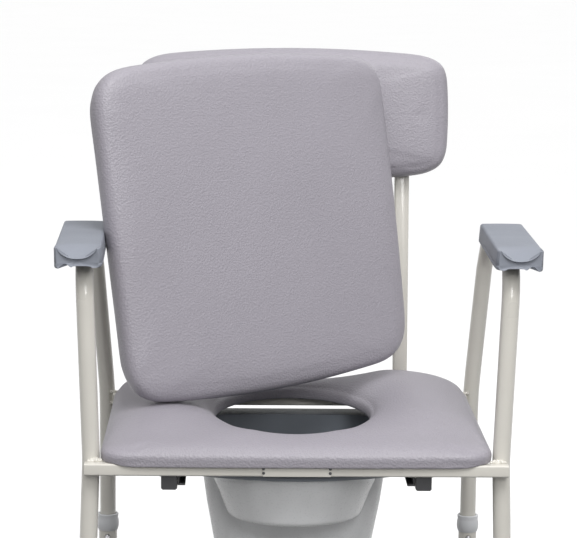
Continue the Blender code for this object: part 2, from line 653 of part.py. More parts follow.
# ---- armrests ---------------------------------------------------------------------------------
ARM_FRONT = -32.0
ARM_REAR = 278.0
ARM_HALF = 27.8
ARM_TOP = 269.0
ARM_OUT = 6.0
for s, side in ((-1, "left"), (1, "right")):
    rings = []
    stations = [(0.0, 0.80, 12.0, 15.0), (5.0, 0.93, 5.5, 19.0), (16.0, 1.0, 1.5, 23.0), (40.0, 1.0, 0.0, 25.0),
                (100.0, 1.0, 0.0, 25.0), (155.0, 1.0, 0.0, 25.0), (220.0, 1.0, 0.0, 25.0),
                (298.0, 1.0, 0.0, 25.0), (306.0, 0.95, 1.0, 23.5), (310.0, 0.86, 3.0, 21.0)]
    for d, wide, drop, deep in stations:
        y = ARM_FRONT + d
        cx = arm_centre_x(max(y, 0.0)) + ARM_OUT
        top = ARM_TOP - ARM_FALL * y - drop
        low = ARM_TOP - ARM_FALL * y - 25.0 - (1.0 if 60 < d < 260 else 0.0)
        low = max(low, ARM_TOP - ARM_FALL * y - drop - deep) if d in (0.0, 310.0) else low
        h = ARM_HALF * wide
        groove = TUBE_R + 0.7
        g = cx - arm_centre_x(max(y, 0.0))
        crest = arm_z(y) + TUBE_R + 0.7
        if d < 16.0:
            crest = low + 0.9
        prof = [(-h + 5.0, top), (h - 5.0, top), (h - 1.0, top - 3.0), (h + 1.8, top - 12.0),
                (h + 2.2, low + 2.0), (h - 1.0, low)]
        steps = 6
        flat_gap = 12.4
        for k in range(steps + 1):
            a = pi * k / steps
            gx = -g + flat_gap * cos(a)
            gz = low + (crest - low) * sin(a) ** 0.6 if 0 < k < steps else low
            prof.append((gx, gz))
        prof += [(-h + 1.0, low), (-h - 2.2, low + 2.0), (-h - 1.8, top - 12.0), (-h + 1.0, top - 3.0)]
        rings.append([(s * (cx + a), y, b) for a, b in prof])
    verts, faces = loft(rings)
    arm = finish(f"armrest_{side}", verts, faces, ARM_FOAM)
    for k, y in enumerate(ARM_SCREW_Y):
        at = (s * arm_centre_x(y), y, arm_z(y))
        v, f = rod([(3.0, 0.0), (3.0, TUBE_R + 8.0)], 10, at, (0, 0, 1))
        subtract(arm, f"arm_hole_{k}_{side}", v, f)
        prof = [(2.6, -TUBE_R - GAP - 3.0), (5.2, -TUBE_R - GAP - 2.2), (5.4, -TUBE_R - GAP),
                (2.7, -TUBE_R - GAP), (2.7, TUBE_R + 7.0)]
        verts, faces = rod(prof, 12, at, (0, 0, 1))
        finish(f"armrest_screw_{('front', 'rear')[k]}_{side}", verts, faces, STEEL)

# ---- pan --------------------------------------------------------------------------------------
PAN_N = 40


def pan_outline(half, front, rear, front_bow, r_rear):
    """Plan of the pan: bowed front, square rear with eased corners, PAN_N points."""
    side_len = rear - r_rear - (front + front_bow)
    pts = []
    for k in range(12):
        a = k / 12
        x = -half + 2 * half * a
        pts.append((x, front + front_bow * (x / half) ** 2))
    for k in range(8):
        pts.append((half, front + front_bow + side_len * k / 8))
    for k in range(4):
        a = pi / 2 * k / 4
        pts.append((half - r_rear + r_rear * cos(a), rear - r_rear + r_rear * sin(a)))
    for k in range(4):
        x = half - r_rear - (2 * (half - r_rear)) * k / 4
        pts.append((x, rear))
    for k in range(4):
        a = pi / 2 + pi / 2 * k / 4
        pts.append((-half + r_rear + r_rear * cos(a), rear - r_rear + r_rear * sin(a)))
    for k in range(8):
        pts.append((-half, rear - r_rear - side_len * k / 8))
    return pts


def ellipse(cx, cy, a, b, n):
    return [(cx + a * cos(2 * pi * k / n), cy + b * sin(2 * pi * k / n)) for k in range(n)]


def stack(levels):
    return loft([[(x, y, z) for x, y in ring] for ring, z in levels])


def merge(target, other, operation, name):
    mod = target.modifiers.new(name, "BOOLEAN")
    mod.operation = operation
    mod.solver = "EXACT"
    mod.object = other
    bpy.context.view_layer.update()
    with bpy.context.temp_override(object=target, active_object=target, selected_objects=[target]):
        bpy.ops.object.modifier_apply(modifier=name)
    bpy.data.objects.remove(other, do_unlink=True)


RIM_LOW = PAN_TOP - 6.6
BOWL_LOW = -91.0
BUCKET_LOW = -186.0
PAN_WALL = 2.6
v, f = stack([(pan_outline(PAN_HALF_W, PAN_FRONT, PAN_REAR, 38.0, 16.0), RIM_LOW),
              (pan_outline(PAN_HALF_W, PAN_FRONT, PAN_REAR, 38.0, 16.0), PAN_TOP)])
pan = finish("pan", v, f, PAN_PLASTIC, (0.0, 0.0, PAN_TOP))


def bowl_levels(shrink, top):
    """Shallow front bowl: half-ellipse cone, longer than it is wide."""
    out = []
    for z, a in ((top, 113.0), (-58.0, 96.0), (BOWL_LOW + 8.0, 85.0), (BOWL_LOW, 78.0)):
        z2 = z + (shrink if z < top - 10 else 0.0)
        b = a * 0.86
        out.append((ellipse(0.0, 95.0, a - shrink, b - shrink, 32), z2))
    return out


def bucket_levels(shrink, top):
    """Deep rear bucket."""
    out = []
    for z, w, y0, y1 in ((top, 121.0, 96.0, 352.0), (-86.0, 113.0, 104.0, 343.0),
                         (BUCKET_LOW + 8.0, 97.0, 118.0, 326.0), (BUCKET_LOW, 90.0, 126.0, 318.0)):
        z2 = z + (shrink if z < top - 10 else 0.0)
        half = w - shrink
        lo = y0 + shrink
        hi = y1 - shrink
        r = 34.0
        ring = []
        for cx, cy, a0 in ((half - r, lo + r, -pi / 2), (half - r, hi - r, 0.0),
                           (-half + r, hi - r, pi / 2), (-half + r, lo + r, pi)):
            for k in range(7):
                a = a0 + pi / 2 * k / 6
                ring.append((cx + r * cos(a), cy + r * sin(a)))
        out.append((ring, z2))
    return out


v, f = stack(bowl_levels(0.0, RIM_LOW + 2.0)[::-1])
merge(pan, finish("bowl_outer", v, f, PAN_PLASTIC), "UNION", "bowl_outer")
v, f = stack(bucket_levels(0.0, RIM_LOW + 2.0)[::-1])
merge(pan, finish("bucket_outer", v, f, PAN_PLASTIC), "UNION", "bucket_outer")
v, f = stack(bowl_levels(PAN_WALL, PAN_TOP + 6.0)[::-1])
merge(pan, finish("bowl_inner", v, f, PAN_PLASTIC), "DIFFERENCE", "bowl_inner")
v, f = stack(bucket_levels(PAN_WALL, PAN_TOP + 6.0)[::-1])
merge(pan, finish("bucket_inner", v, f, PAN_PLASTIC), "DIFFERENCE", "bucket_inner")
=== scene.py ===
"""Looks for the bedside commode chair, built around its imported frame.

Shapes are in millimetres from the chair's own datum: X from the mid-plane, Y from the front leg line,
Z from the top of the seat rails. to_frame() turns them into the frame's metres.
"""

import json
from math import atan2, cos, hypot, pi, radians, sin, sqrt

import bmesh
import bpy
import numpy as np
from mathutils import Matrix, Vector, noise


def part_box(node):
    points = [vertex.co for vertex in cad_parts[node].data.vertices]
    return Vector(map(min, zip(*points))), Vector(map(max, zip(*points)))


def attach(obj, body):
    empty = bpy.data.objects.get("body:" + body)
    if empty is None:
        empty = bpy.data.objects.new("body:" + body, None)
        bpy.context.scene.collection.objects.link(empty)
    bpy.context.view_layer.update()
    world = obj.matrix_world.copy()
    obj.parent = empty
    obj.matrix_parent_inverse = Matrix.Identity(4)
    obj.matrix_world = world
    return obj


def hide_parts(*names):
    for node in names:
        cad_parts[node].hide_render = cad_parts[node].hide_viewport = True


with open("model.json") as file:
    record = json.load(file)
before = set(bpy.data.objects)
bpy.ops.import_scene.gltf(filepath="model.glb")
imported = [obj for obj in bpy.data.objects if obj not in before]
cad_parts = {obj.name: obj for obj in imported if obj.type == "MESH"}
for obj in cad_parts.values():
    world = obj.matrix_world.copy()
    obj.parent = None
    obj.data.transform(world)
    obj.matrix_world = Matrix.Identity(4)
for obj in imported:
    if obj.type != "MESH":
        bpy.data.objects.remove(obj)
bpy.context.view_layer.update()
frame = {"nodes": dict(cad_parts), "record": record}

MM = 0.001
GAP = 0.3
TUBE_R = 11.1
TUBE_WALL = 1.5
RAIL_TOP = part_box("front_rail")[1].z / MM
LEG_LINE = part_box("front_rail")[1].y / MM + TUBE_R + GAP
LEG_PITCH = (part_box("rear_rail")[1].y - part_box("front_rail")[1].y) / MM
FRONT_TRACK = 254.6
REAR_TRACK = 257.2
FRONT_SPLAY = 0.034
REAR_SPLAY = 0.086
ARM_Z = 247.0
ARM_FALL = 0.029
PIN_Z = -210.0
PIN_R = 3.4
PIN_HOLE_R = PIN_R + 0.55
SPLAY_BLEND = 6.0         # size of the soft bend at rail height, where the front tubes turn outwards
REAR_LEG_Z = -200.0       # a height at which the rear legs run straight down
SLEEVE_R = 12.9
SLEEVE_WALL = 1.3


def to_frame(p):
    return (p[0] * MM, (p[1] + LEG_LINE) * MM, (p[2] + RAIL_TOP) * MM)


# ---- materials --------------------------------------------------------------------------------
NOISE_LOW, NOISE_HIGH = 0.3, 0.7      # most of a noise texture's values lie between these


class Shader:
    """A Principled material with its node tree at hand; textures run on object coordinates, in metres."""

    def __init__(self, name, colour, roughness, **sockets):
        self.mat = bpy.data.materials.new(name)
        self.mat.use_nodes = True
        self.tree = self.mat.node_tree
        self.bsdf = self.tree.nodes["Principled BSDF"]
        self.coords = self.tree.nodes.new("ShaderNodeTexCoord").outputs["Object"]
        self.bsdf.inputs["Base Color"].default_value = (*colour, 1.0)
        self.bsdf.inputs["Roughness"].default_value = roughness
        for key, value in sockets.items():
            self.bsdf.inputs[key.replace("_", " ")].default_value = value

    def link(self, a, b):
        self.tree.links.new(a, b)

    def noise(self, scale, detail=3.0, rough=0.5, stretch=None):
        node = self.tree.nodes.new("ShaderNodeTexNoise")
        node.inputs["Scale"].default_value = scale
        node.inputs["Detail"].default_value = detail
        node.inputs["Roughness"].default_value = rough
        self.link(self.placed(stretch), node.inputs["Vector"])
        return node.outputs["Fac"]

    def cells(self, scale):
        node = self.tree.nodes.new("ShaderNodeTexVoronoi")
        node.inputs["Scale"].default_value = scale
        self.link(self.coords, node.inputs["Vector"])
        return node.outputs["Distance"]

    def placed(self, stretch):
        if stretch is None:
            return self.coords
        node = self.tree.nodes.new("ShaderNodeMapping")
        node.inputs["Scale"].default_value = stretch
        self.link(self.coords, node.inputs["Vector"])
        return node.outputs["Vector"]

    def spread(self, value, low, high):
        node = self.tree.nodes.new("ShaderNodeMapRange")
        node.inputs["From Min"].default_value = NOISE_LOW
        node.inputs["From Max"].default_value = NOISE_HIGH
        node.inputs["To Min"].default_value = low
        node.inputs["To Max"].default_value = high
        self.link(value, node.inputs["Value"])
        return node.outputs["Result"]

    def maths(self, operation, a, b):
        node = self.tree.nodes.new("ShaderNodeMath")
        node.operation = operation
        for socket, value in zip(node.inputs, (a, b)):
            if isinstance(value, float):
                socket.default_value = value
            else:
                self.link(value, socket)
        return node.outputs["Value"]

    def tint(self, value, dark, light):
        """Base colour that runs from dark to light with value."""
        node = self.tree.nodes.new("ShaderNodeValToRGB")
        node.color_ramp.elements[0].position = NOISE_LOW
        node.color_ramp.elements[1].position = NOISE_HIGH
        node.color_ramp.elements[0].color = (*dark, 1.0)
        node.color_ramp.elements[1].color = (*light, 1.0)
        self.link(value, node.inputs["Fac"])
        self.link(node.outputs["Color"], self.bsdf.inputs["Base Color"])

    def roughness(self, value, low, high):
        self.link(self.spread(value, low, high), self.bsdf.inputs["Roughness"])

    def bump(self, height, strength, depth_mm):
        node = self.tree.nodes.new("ShaderNodeBump")
        node.inputs["Strength"].default_value = strength
        node.inputs["Distance"].default_value = depth_mm * MM
        self.link(height, node.inputs["Height"])
        self.link(node.outputs["Normal"], self.bsdf.inputs["Normal"])


def shade(colour, k):
    return tuple(c * k for c in colour)


def vinyl_material():
    """Grey-mauve upholstery vinyl with a fine pebbled grain."""
    base = (0.297, 0.280, 0.315)
    s = Shader("vinyl_pebbled", base, 0.46, Coat_Weight=0.06, Coat_Roughness=0.35, Sheen_Weight=0.04)
    pebble = s.cells(380.0)
    crinkle = s.noise(560.0, 3.0, 0.65)
    soft = s.noise(7.0, 2.0, 0.5)
    height = s.maths("ADD", s.maths("MULTIPLY", pebble, 1.3), s.maths("MULTIPLY", crinkle, 0.5))
    # Tone follows a soft random noise and the crinkle relief: the soft part is random tone, the crinkle part
    # makes the grain's hollows darker, which is painted shade.
    s.tint(s.maths("ADD", s.maths("MULTIPLY", soft, 0.3), s.maths("MULTIPLY", crinkle, 0.7)),
           shade(base, 0.93), shade(base, 1.07))
    s.roughness(crinkle, 0.38, 0.56)
    s.bump(height, 0.75, 0.50)
    return s.mat


def powder_coat(name, base):
    """Ivory powder coat with a faint orange peel."""
    s = Shader(name, base, 0.28, Coat_Weight=0.40, Coat_Roughness=0.10)
    peel = s.noise(520.0, 2.0, 0.5)
    patch = s.noise(9.0, 3.0, 0.55)
    s.tint(patch, shade(base, 0.965), shade(base, 1.02))
    s.roughness(patch, 0.26, 0.36)
    s.bump(peel, 0.10, 0.25)
    return s.mat


def arm_material():
    """Self-skinned polyurethane foam, cool grey."""
    base = (0.230, 0.245, 0.282)
    s = Shader("arm_self_skin_foam", base, 0.50, Specular_IOR_Level=0.20)
    skin = s.noise(900.0, 3.0, 0.6)
    patch = s.noise(14.0, 3.0, 0.5)
    s.tint(patch, shade(base, 0.95), shade(base, 1.04))
    s.roughness(skin, 0.46, 0.58)
    s.bump(skin, 0.18, 0.25)
    return s.mat


def moulded(name, base, rough, grain=700.0, strength=0.12, coat=0.05):
    """Moulded plastic or rubber with a fine spark-eroded texture."""
    s = Shader(name, base, rough, Coat_Weight=coat, Coat_Roughness=0.3)
    fine = s.noise(grain, 3.0, 0.6)
    flow = s.noise(22.0, 2.0, 0.5, stretch=(1.0, 1.0, 0.3))
    s.tint(flow, shade(base, 0.93), shade(base, 1.05))
    s.roughness(fine, max(rough - 0.06, 0.05), rough + 0.07)
    s.bump(fine, strength, 0.2)
    return s.mat


def steel_material():
    """Zinc-plated steel with turning marks."""
    base = (0.56, 0.56, 0.57)
    s = Shader("zinc_plated_steel", base, 0.28, Metallic=1.0)
    rings = s.noise(900.0, 2.0, 0.5, stretch=(1.0, 1.0, 6.0))
    patch = s.noise(160.0, 3.0, 0.6)
    s.tint(patch, shade(base, 0.86), shade(base, 1.08))
    s.roughness(rings, 0.22, 0.42)
    s.bump(rings, 0.10, 0.1)
    return s.mat


def board_material():
    """Plywood behind the pads, under a black spun dust cover."""
    base = (0.040, 0.040, 0.043)
    s = Shader("dust_cover_felt", base, 0.85, Sheen_Weight=0.25)
    fibre = s.noise(850.0, 5.0, 0.7)
    weave = s.cells(420.0)
    s.tint(fibre, shade(base, 0.6), shade(base, 1.7))
    s.roughness(fibre, 0.75, 0.92)
    s.bump(s.maths("ADD", fibre, weave), 0.35, 0.3)
    return s.mat


FRAME_COLOUR = (0.612, 0.591, 0.540)
VINYL = vinyl_material()
PAINT = powder_coat("powder_coat_ivory", FRAME_COLOUR)
WELD = powder_coat("powder_coat_weld", shade(FRAME_COLOUR, 1.04))
ARM = arm_material()
PAN = moulded("pan_polypropylene", (0.790, 0.796, 0.806), 0.30, grain=420.0, strength=0.06, coat=0.25)
# The pan's own polypropylene painted dark: painted shade for the flange and the inside, which lie in shadow
# under the seat and rails.
PAN_PAINTED_SHADE = moulded("pan_polypropylene_painted_shade", (0.118, 0.134, 0.156), 0.38,
                     grain=420.0, strength=0.06, coat=0.15)
BLACK = moulded("black_polyethylene", (0.030, 0.030, 0.033), 0.42)
COLLAR = moulded("collar_grey_plastic", (0.640, 0.649, 0.668), 0.36)
RUBBER = moulded("foot_grey_rubber", (0.150, 0.150, 0.156), 0.72, grain=500.0, strength=0.25, coat=0.0)
STEEL = steel_material()
FELT = board_material()

SLOT_LOOKS = {"frame_paint": PAINT, "vinyl": VINYL, "board": FELT, "arm_foam": ARM, "pan_plastic": PAN,
              "black_plastic": BLACK, "grey_plastic": COLLAR, "rubber": RUBBER, "steel": STEEL}
NODE_SLOT = {row["node"]: row["material_slot"] for row in frame["record"]["subparts"]}
NODE_BODY = {n: body for body, names in frame["record"]["behaviour"]["bodies"].items() for n in names}

for node_name, node in frame["nodes"].items():
    look = SLOT_LOOKS[NODE_SLOT[node_name]]
    node.data.materials.clear()
    node.data.materials.append(look)


# ---- mesh helpers -----------------------------------------------------------------------------
def settle(obj):
    """Apply an object's modifiers."""
    graph = bpy.context.evaluated_depsgraph_get()
    mesh = bpy.data.meshes.new_from_object(obj.evaluated_get(graph))
    obj.modifiers.clear()
    obj.data = mesh
    return obj


def mesh_object(name, verts, faces, look):
    mesh = bpy.data.meshes.new(name)
    mesh.from_pydata([Vector(v) for v in verts], [], faces)
    bm = bmesh.new()
    bm.from_mesh(mesh)
    bmesh.ops.remove_doubles(bm, verts=bm.verts, dist=2e-6)
    bmesh.ops.recalc_face_normals(bm, faces=bm.faces)
    if bm.calc_volume(signed=True) < 0:
        bmesh.ops.reverse_faces(bm, faces=bm.faces)
    bm.to_mesh(mesh)
    bm.free()
    mesh.materials.append(look)
    obj = bpy.data.objects.new(name, mesh)
    bpy.context.scene.collection.objects.link(obj)
    return obj


def smooth_faces(obj, angle=40.0):
    obj.data.shade_smooth()
    obj.data.set_sharp_from_angle(angle=radians(angle))


def bevelled(obj, width_mm, angle=35.0):
    mod = obj.modifiers.new("edge", "BEVEL")
    mod.width = width_mm * MM
    mod.segments = 3
    mod.limit_method = "ANGLE"
    mod.angle_limit = radians(angle)
    mod.use_clamp_overlap = True
    return settle(obj)


def subdivided(obj, levels):
    mod = obj.modifiers.new("rounding", "SUBSURF")
    mod.levels = levels
    mod.render_levels = levels
    return settle(obj)


def add(name, verts, faces, look, slot, body, *nodes, angle=40.0, bevel=0.0, levels=0):
    """A finished piece from millimetre vertices, riding on a body and standing for CAD nodes."""
    obj = mesh_object(name, [to_frame(v) for v in verts], faces, look)
    if levels:
        subdivided(obj, levels)
    if bevel:
        bevelled(obj, bevel)
    smooth_faces(obj, angle)
    return claim(obj, slot, body, *nodes)


def claim(obj, slot, body, *nodes):
    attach(obj, body)
    if nodes:
        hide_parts(*nodes)
    return obj


def loft(rings, closed=False):
    """Quads through rings of equal length; closed joins the last ring to the first."""
    verts = [tuple(p) for ring in rings for p in ring]
    n = len(rings[0])
    faces = []
    for i in range(len(rings) if closed else len(rings) - 1):
        a = i * n
        b = ((i + 1) % len(rings)) * n
        faces += [(a + k, a + (k + 1) % n, b + (k + 1) % n, b + k) for k in range(n)]
    if not closed:
        faces.append(tuple(range(n)))
        faces.append(tuple((len(rings) - 1) * n + k for k in range(n)))
    return verts, faces


def joined(parts):
    """Several (verts, faces) as one."""
    verts = []
    faces = []
    for v, f in parts:
        base = len(verts)
        verts += list(v)
        faces += [tuple(i + base for i in face) for face in f]
    return verts, faces


def circle(r, n):
    return [(r * cos(2 * pi * k / n), r * sin(2 * pi * k / n)) for k in range(n)]


def frames_along(path):
    pts = [np.array(p, float) for p in path]
    normal = None
    out = []
    for i, p in enumerate(pts):
        back = p - pts[i - 1] if i else pts[1] - p
        ahead = pts[i + 1] - p if i < len(pts) - 1 else back
        t = back / np.linalg.norm(back) + ahead / np.linalg.norm(ahead)
        t /= np.linalg.norm(t)
        if normal is None:
            normal = np.cross(t, [0.0, 0.0, 1.0]) if abs(t[2]) < 0.9 else np.array([1.0, 0.0, 0.0])
        normal = normal - t * float(normal @ t)
        normal /= np.linalg.norm(normal)
        out.append((p, normal, np.cross(t, normal)))
    return out


def sweep(path, radii, n):
    """A solid round bar along a path, one radius for each point."""
    rings = []
    for (p, a, b), r in zip(frames_along(path), radii):
        rings.append([p + a * x + b * y for x, y in circle(r, n)])
    return loft(rings)


def hollow_sweep(path, r_out, r_in, n):
    rings = frames_along(path)
    outer = [[p + a * x + b * y for x, y in circle(r_out, n)] for p, a, b in rings]
    inner = [[p + a * x + b * y for x, y in circle(r_in, n)] for p, a, b in rings]
    return loft(outer + inner[::-1], closed=True)


def turned(profile, n, point, axis):
    """A solid or ring turned about an axis: (radius, distance) stations in order."""
    d = np.array(axis, float)
    d /= np.linalg.norm(d)
    ref = np.array([1.0, 0.0, 0.0]) if abs(d[0]) < 0.9 else np.array([0.0, 0.0, 1.0])
    a = np.cross(d, ref)
    a /= np.linalg.norm(a)
    b = np.cross(d, a)
    p = np.array(point, float)
    return [[p + d * s + a * x + b * y for x, y in circle(r, n)] for r, s in profile]


def arc(cx, cz, r, a0, a1, steps):
    return [(cx + r * cos(a0 + (a1 - a0) * k / steps), cz + r * sin(a0 + (a1 - a0) * k / steps))
            for k in range(steps + 1)]


def refined(node, look, bevel):
    """A CAD node's own shape with eased edges, as a new piece in its place."""
    source = frame["nodes"][node]
    obj = bpy.data.objects.new(f"{node}_shell", source.data.copy())
    bpy.context.scene.collection.objects.link(obj)
    bm = bmesh.new()
    bm.from_mesh(obj.data)
    bmesh.ops.remove_doubles(bm, verts=bm.verts, dist=2e-6)
    bmesh.ops.dissolve_limit(bm, angle_limit=radians(1.5), verts=bm.verts, edges=bm.edges)
    bm.to_mesh(obj.data)
    bm.free()
    obj.data.materials.clear()
    obj.data.materials.append(look)
    bevelled(obj, bevel, angle=30.0)
    smooth_faces(obj)
    return claim(obj, NODE_SLOT[node], NODE_BODY[node], node)


# ---- side frames ------------------------------------------------------------------------------
def tube_x_front(z):
    return FRONT_TRACK + FRONT_SPLAY * (sqrt(z * z + SPLAY_BLEND ** 2) - SPLAY_BLEND)


def tube_x_rear(z):
    return REAR_TRACK + REAR_SPLAY * ((z + sqrt(z * z + 400.0)) / 2 - 0.3)


def arm_z(y):
    return ARM_Z - ARM_FALL * y


def arm_centre_x(y):
    x_front = tube_x_front(ARM_Z)
    return x_front + (tube_x_rear(arm_z(LEG_PITCH)) - x_front) * y / LEG_PITCH


LEG_TUBE_END = -330.0
ARM_FRONT_R = 50.0
ARM_REAR_R = 60.0


def side_path(s):
    """Centre line from the front leg's lower end over the arm to the rear leg's lower end."""
    steps = 14
    levels = np.concatenate([np.linspace(LEG_TUBE_END, -40, 5), np.linspace(-30, 30, 13),
                             np.linspace(60, 190, 5)])
    path = [(s * tube_x_front(z), 0.0, z) for z in levels]
    fall = atan2(ARM_FALL, 1.0)
    base = arm_z(ARM_FRONT_R) - ARM_FRONT_R
    x_front = tube_x_front(ARM_Z)
    x_rear = tube_x_rear(arm_z(LEG_PITCH))
    for k in range(steps + 1):
        a = (pi / 2 + fall) * k / steps
        y = ARM_FRONT_R * (1 - cos(a))
        z = base + ARM_FRONT_R * sin(a)
        path.append((s * (tube_x_front(min(z, ARM_Z)) + (x_rear - x_front) * y / LEG_PITCH), y, z))
    for t in (0.3, 0.5, 0.7):
        path.append((s * (x_front + (x_rear - x_front) * t), LEG_PITCH * t, arm_z(LEG_PITCH * t)))
    end_z = arm_z(LEG_PITCH - ARM_REAR_R) - ARM_REAR_R
    for k in range(steps + 1):
        w = k / steps
        a = (pi / 2 - fall) * (1 - w)
        y = LEG_PITCH - ARM_REAR_R * (1 - cos(a))
        z = end_z + ARM_REAR_R * sin(a)
        x_arm = x_front + (x_rear - x_front) * y / LEG_PITCH
        path.append((s * (x_arm * (1 - w) + tube_x_rear(z) * w), y, z))
    levels = np.concatenate([np.linspace(140, 60, 4), np.linspace(40, -40, 9),
                             np.linspace(-80, LEG_TUBE_END, 4)])
    path += [(s * tube_x_rear(z), LEG_PITCH, z) for z in levels]
    return path



def cut_holes(obj, centres, r, depth):
    """Round holes through the front wall of a sleeve."""
    solids = joined([loft(turned([(r, 0.0), (r, depth)], 24, c, (0, -1, 0))) for c in centres])
    cutter = mesh_object("hole_cutter", [to_frame(v) for v in solids[0]], solids[1], STEEL)
    mod = obj.modifiers.new("holes", "BOOLEAN")
    mod.object = cutter
    mod.solver = "EXACT"
    settle(obj)
    bpy.data.objects.remove(cutter, do_unlink=True)


SIDES = ((-1, "left"), (1, "right"))
for s, side in SIDES:
    verts, faces = hollow_sweep(side_path(s), TUBE_R, TUBE_R - TUBE_WALL, 48)
    tube = mesh_object(f"side_tube_{side}", [to_frame(v) for v in verts], faces, PAINT)
    pins = [(s * (FRONT_TRACK + FRONT_SPLAY * (-PIN_Z - SPLAY_BLEND)), 0.0, PIN_Z),
            (s * tube_x_rear(REAR_LEG_Z), LEG_PITCH, PIN_Z)]
    cut_holes(tube, pins, PIN_HOLE_R, SLEEVE_R + 6.0)
    smooth_faces(tube)
    claim(tube, "frame_paint", "frame", f"side_frame_{side}")

# ---- straight members -------------------------------------------------------------------------
for node in ("front_rail", "rear_rail", "pan_rail_left", "pan_rail_right"):
    refined(node, PAINT, 0.5)
for s, side in SIDES:
    refined(f"post_socket_{side}", PAINT, 0.6)
    refined(f"backrest_post_{side}", PAINT, 0.7)
    refined(f"pan_guide_{side}", BLACK, 0.5)
    for end in ("front", "rear"):
        refined(f"rail_plug_{end}_{side}", BLACK, 0.9)
        refined(f"seat_block_{end}_{side}", BLACK, 0.8)


# ---- weld beads -------------------------------------------------------------------------------
def bead(start, end, radius, seed, n=26):
    """A ragged fillet weld: a rippled bar that wanders a little about its line."""
    a = np.array(start, float)
    b = np.array(end, float)
    path = []
    radii = []
    for k in range(n):
        t = k / (n - 1)
        p = a + (b - a) * t
        w = noise.noise_vector(Vector((seed * 7.3, t * 5.5, 1.7)))
        path.append(p + np.array(w) * radius * 0.42)
        ripple = 1.0 + 0.24 * sin(t * 24.0 + seed) + 0.34 * noise.noise(Vector((t * 7.0, seed, 4.1)))
        taper = min(1.0, 0.45 + 6.0 * min(t, 1 - t))
        radii.append(radius * ripple * taper)
    return sweep(path, radii, 14)


RAIL = 15.0
RAIL_BACK = -TUBE_R - GAP
for s, side in SIDES:
    x = s * FRONT_TRACK
    beads = [bead((x + s * 4.5, RAIL_BACK - 0.9, 0.7), (x - s * 15.5, RAIL_BACK - 0.6, 0.9), 2.3, 1 + s),
             bead((x + s * 1.0, RAIL_BACK + 0.2, 2.6), (x - s * 12.0, RAIL_BACK + 1.2, 2.2), 1.7, 5 + s),
             bead((x - s * 9.5, RAIL_BACK + 3.0, 0.8), (x - s * 13.0, RAIL_BACK + 8.0, -1.0), 1.6, 7 + s, 14),
             bead((x + s * 4.5, RAIL_BACK - 0.5, -RAIL - 0.4),
                  (x - s * 12.5, RAIL_BACK - 0.5, -RAIL - 0.4), 1.8, 9 + s)]
    rear_x = s * (REAR_TRACK - 8.0)
    rear_y = LEG_PITCH + RAIL_BACK
    beads += [bead((rear_x - s * 8.0, rear_y, 0.3), (rear_x + s * 4.0, rear_y + 1.0, 0.3), 2.1, 13 + s),
              bead((rear_x - s * 8.0, rear_y, -RAIL - 0.3),
                   (rear_x + s * 4.0, rear_y + 1.0, -RAIL - 0.3), 2.1, 17 + s)]
    pan_x = s * 157.5
    for k, (dx, y0, y1) in enumerate(((-10.5, -18.0, -12.6), (10.5, -18.0, -12.6),
                                      (-10.5, 385.0, 390.0), (10.5, 385.0, 390.0))):
        ends = [(pan_x + dx, y, -RAIL - 0.9) for y in (y0, y1)]
        beads.append(bead(*ends, 1.3, 21 + 4 * k + s, 12))
    post_x = s * 156.0
    beads += [bead((post_x - 12.6, LEG_PITCH - 11.6, z), (post_x + 12.6, LEG_PITCH - 11.6, z),
                   1.6, 37 + s + z, 20)
              for z in (-1.2, -RAIL + 0.4)]
    verts, faces = joined(beads)
    add(f"weld_beads_{side}", verts, faces, WELD, "frame_paint", "frame", angle=60.0)

# ---- legs -------------------------------------------------------------------------------------
SLEEVE_TOP = -186.0
FOOT_H = 34.0
HOLE_PITCH = 25.0
COLLAR_TOP = -178.0
COLLAR_BOTTOM = -202.0
LEGS = {"front_left": (-1, 0.0), "front_right": (1, 0.0),
        "rear_left": (-1, LEG_PITCH), "rear_right": (1, LEG_PITCH)}


def leg_line(name):
    """Sideways place of the leg's line at rail height, its depth, and its lean per mm of height."""
    s, y = LEGS[name]
    if y == 0.0:
        return s * (FRONT_TRACK - FRONT_SPLAY * SPLAY_BLEND), y, -s * FRONT_SPLAY
    return s * tube_x_rear(REAR_LEG_Z), y, 0.0


def on_leg(profile, n, name):
    x, y, lean = leg_line(name)
    return [[(x + lean * z + cx, y + cy, z) for cx, cy in circle(r, n)] for r, z in profile]


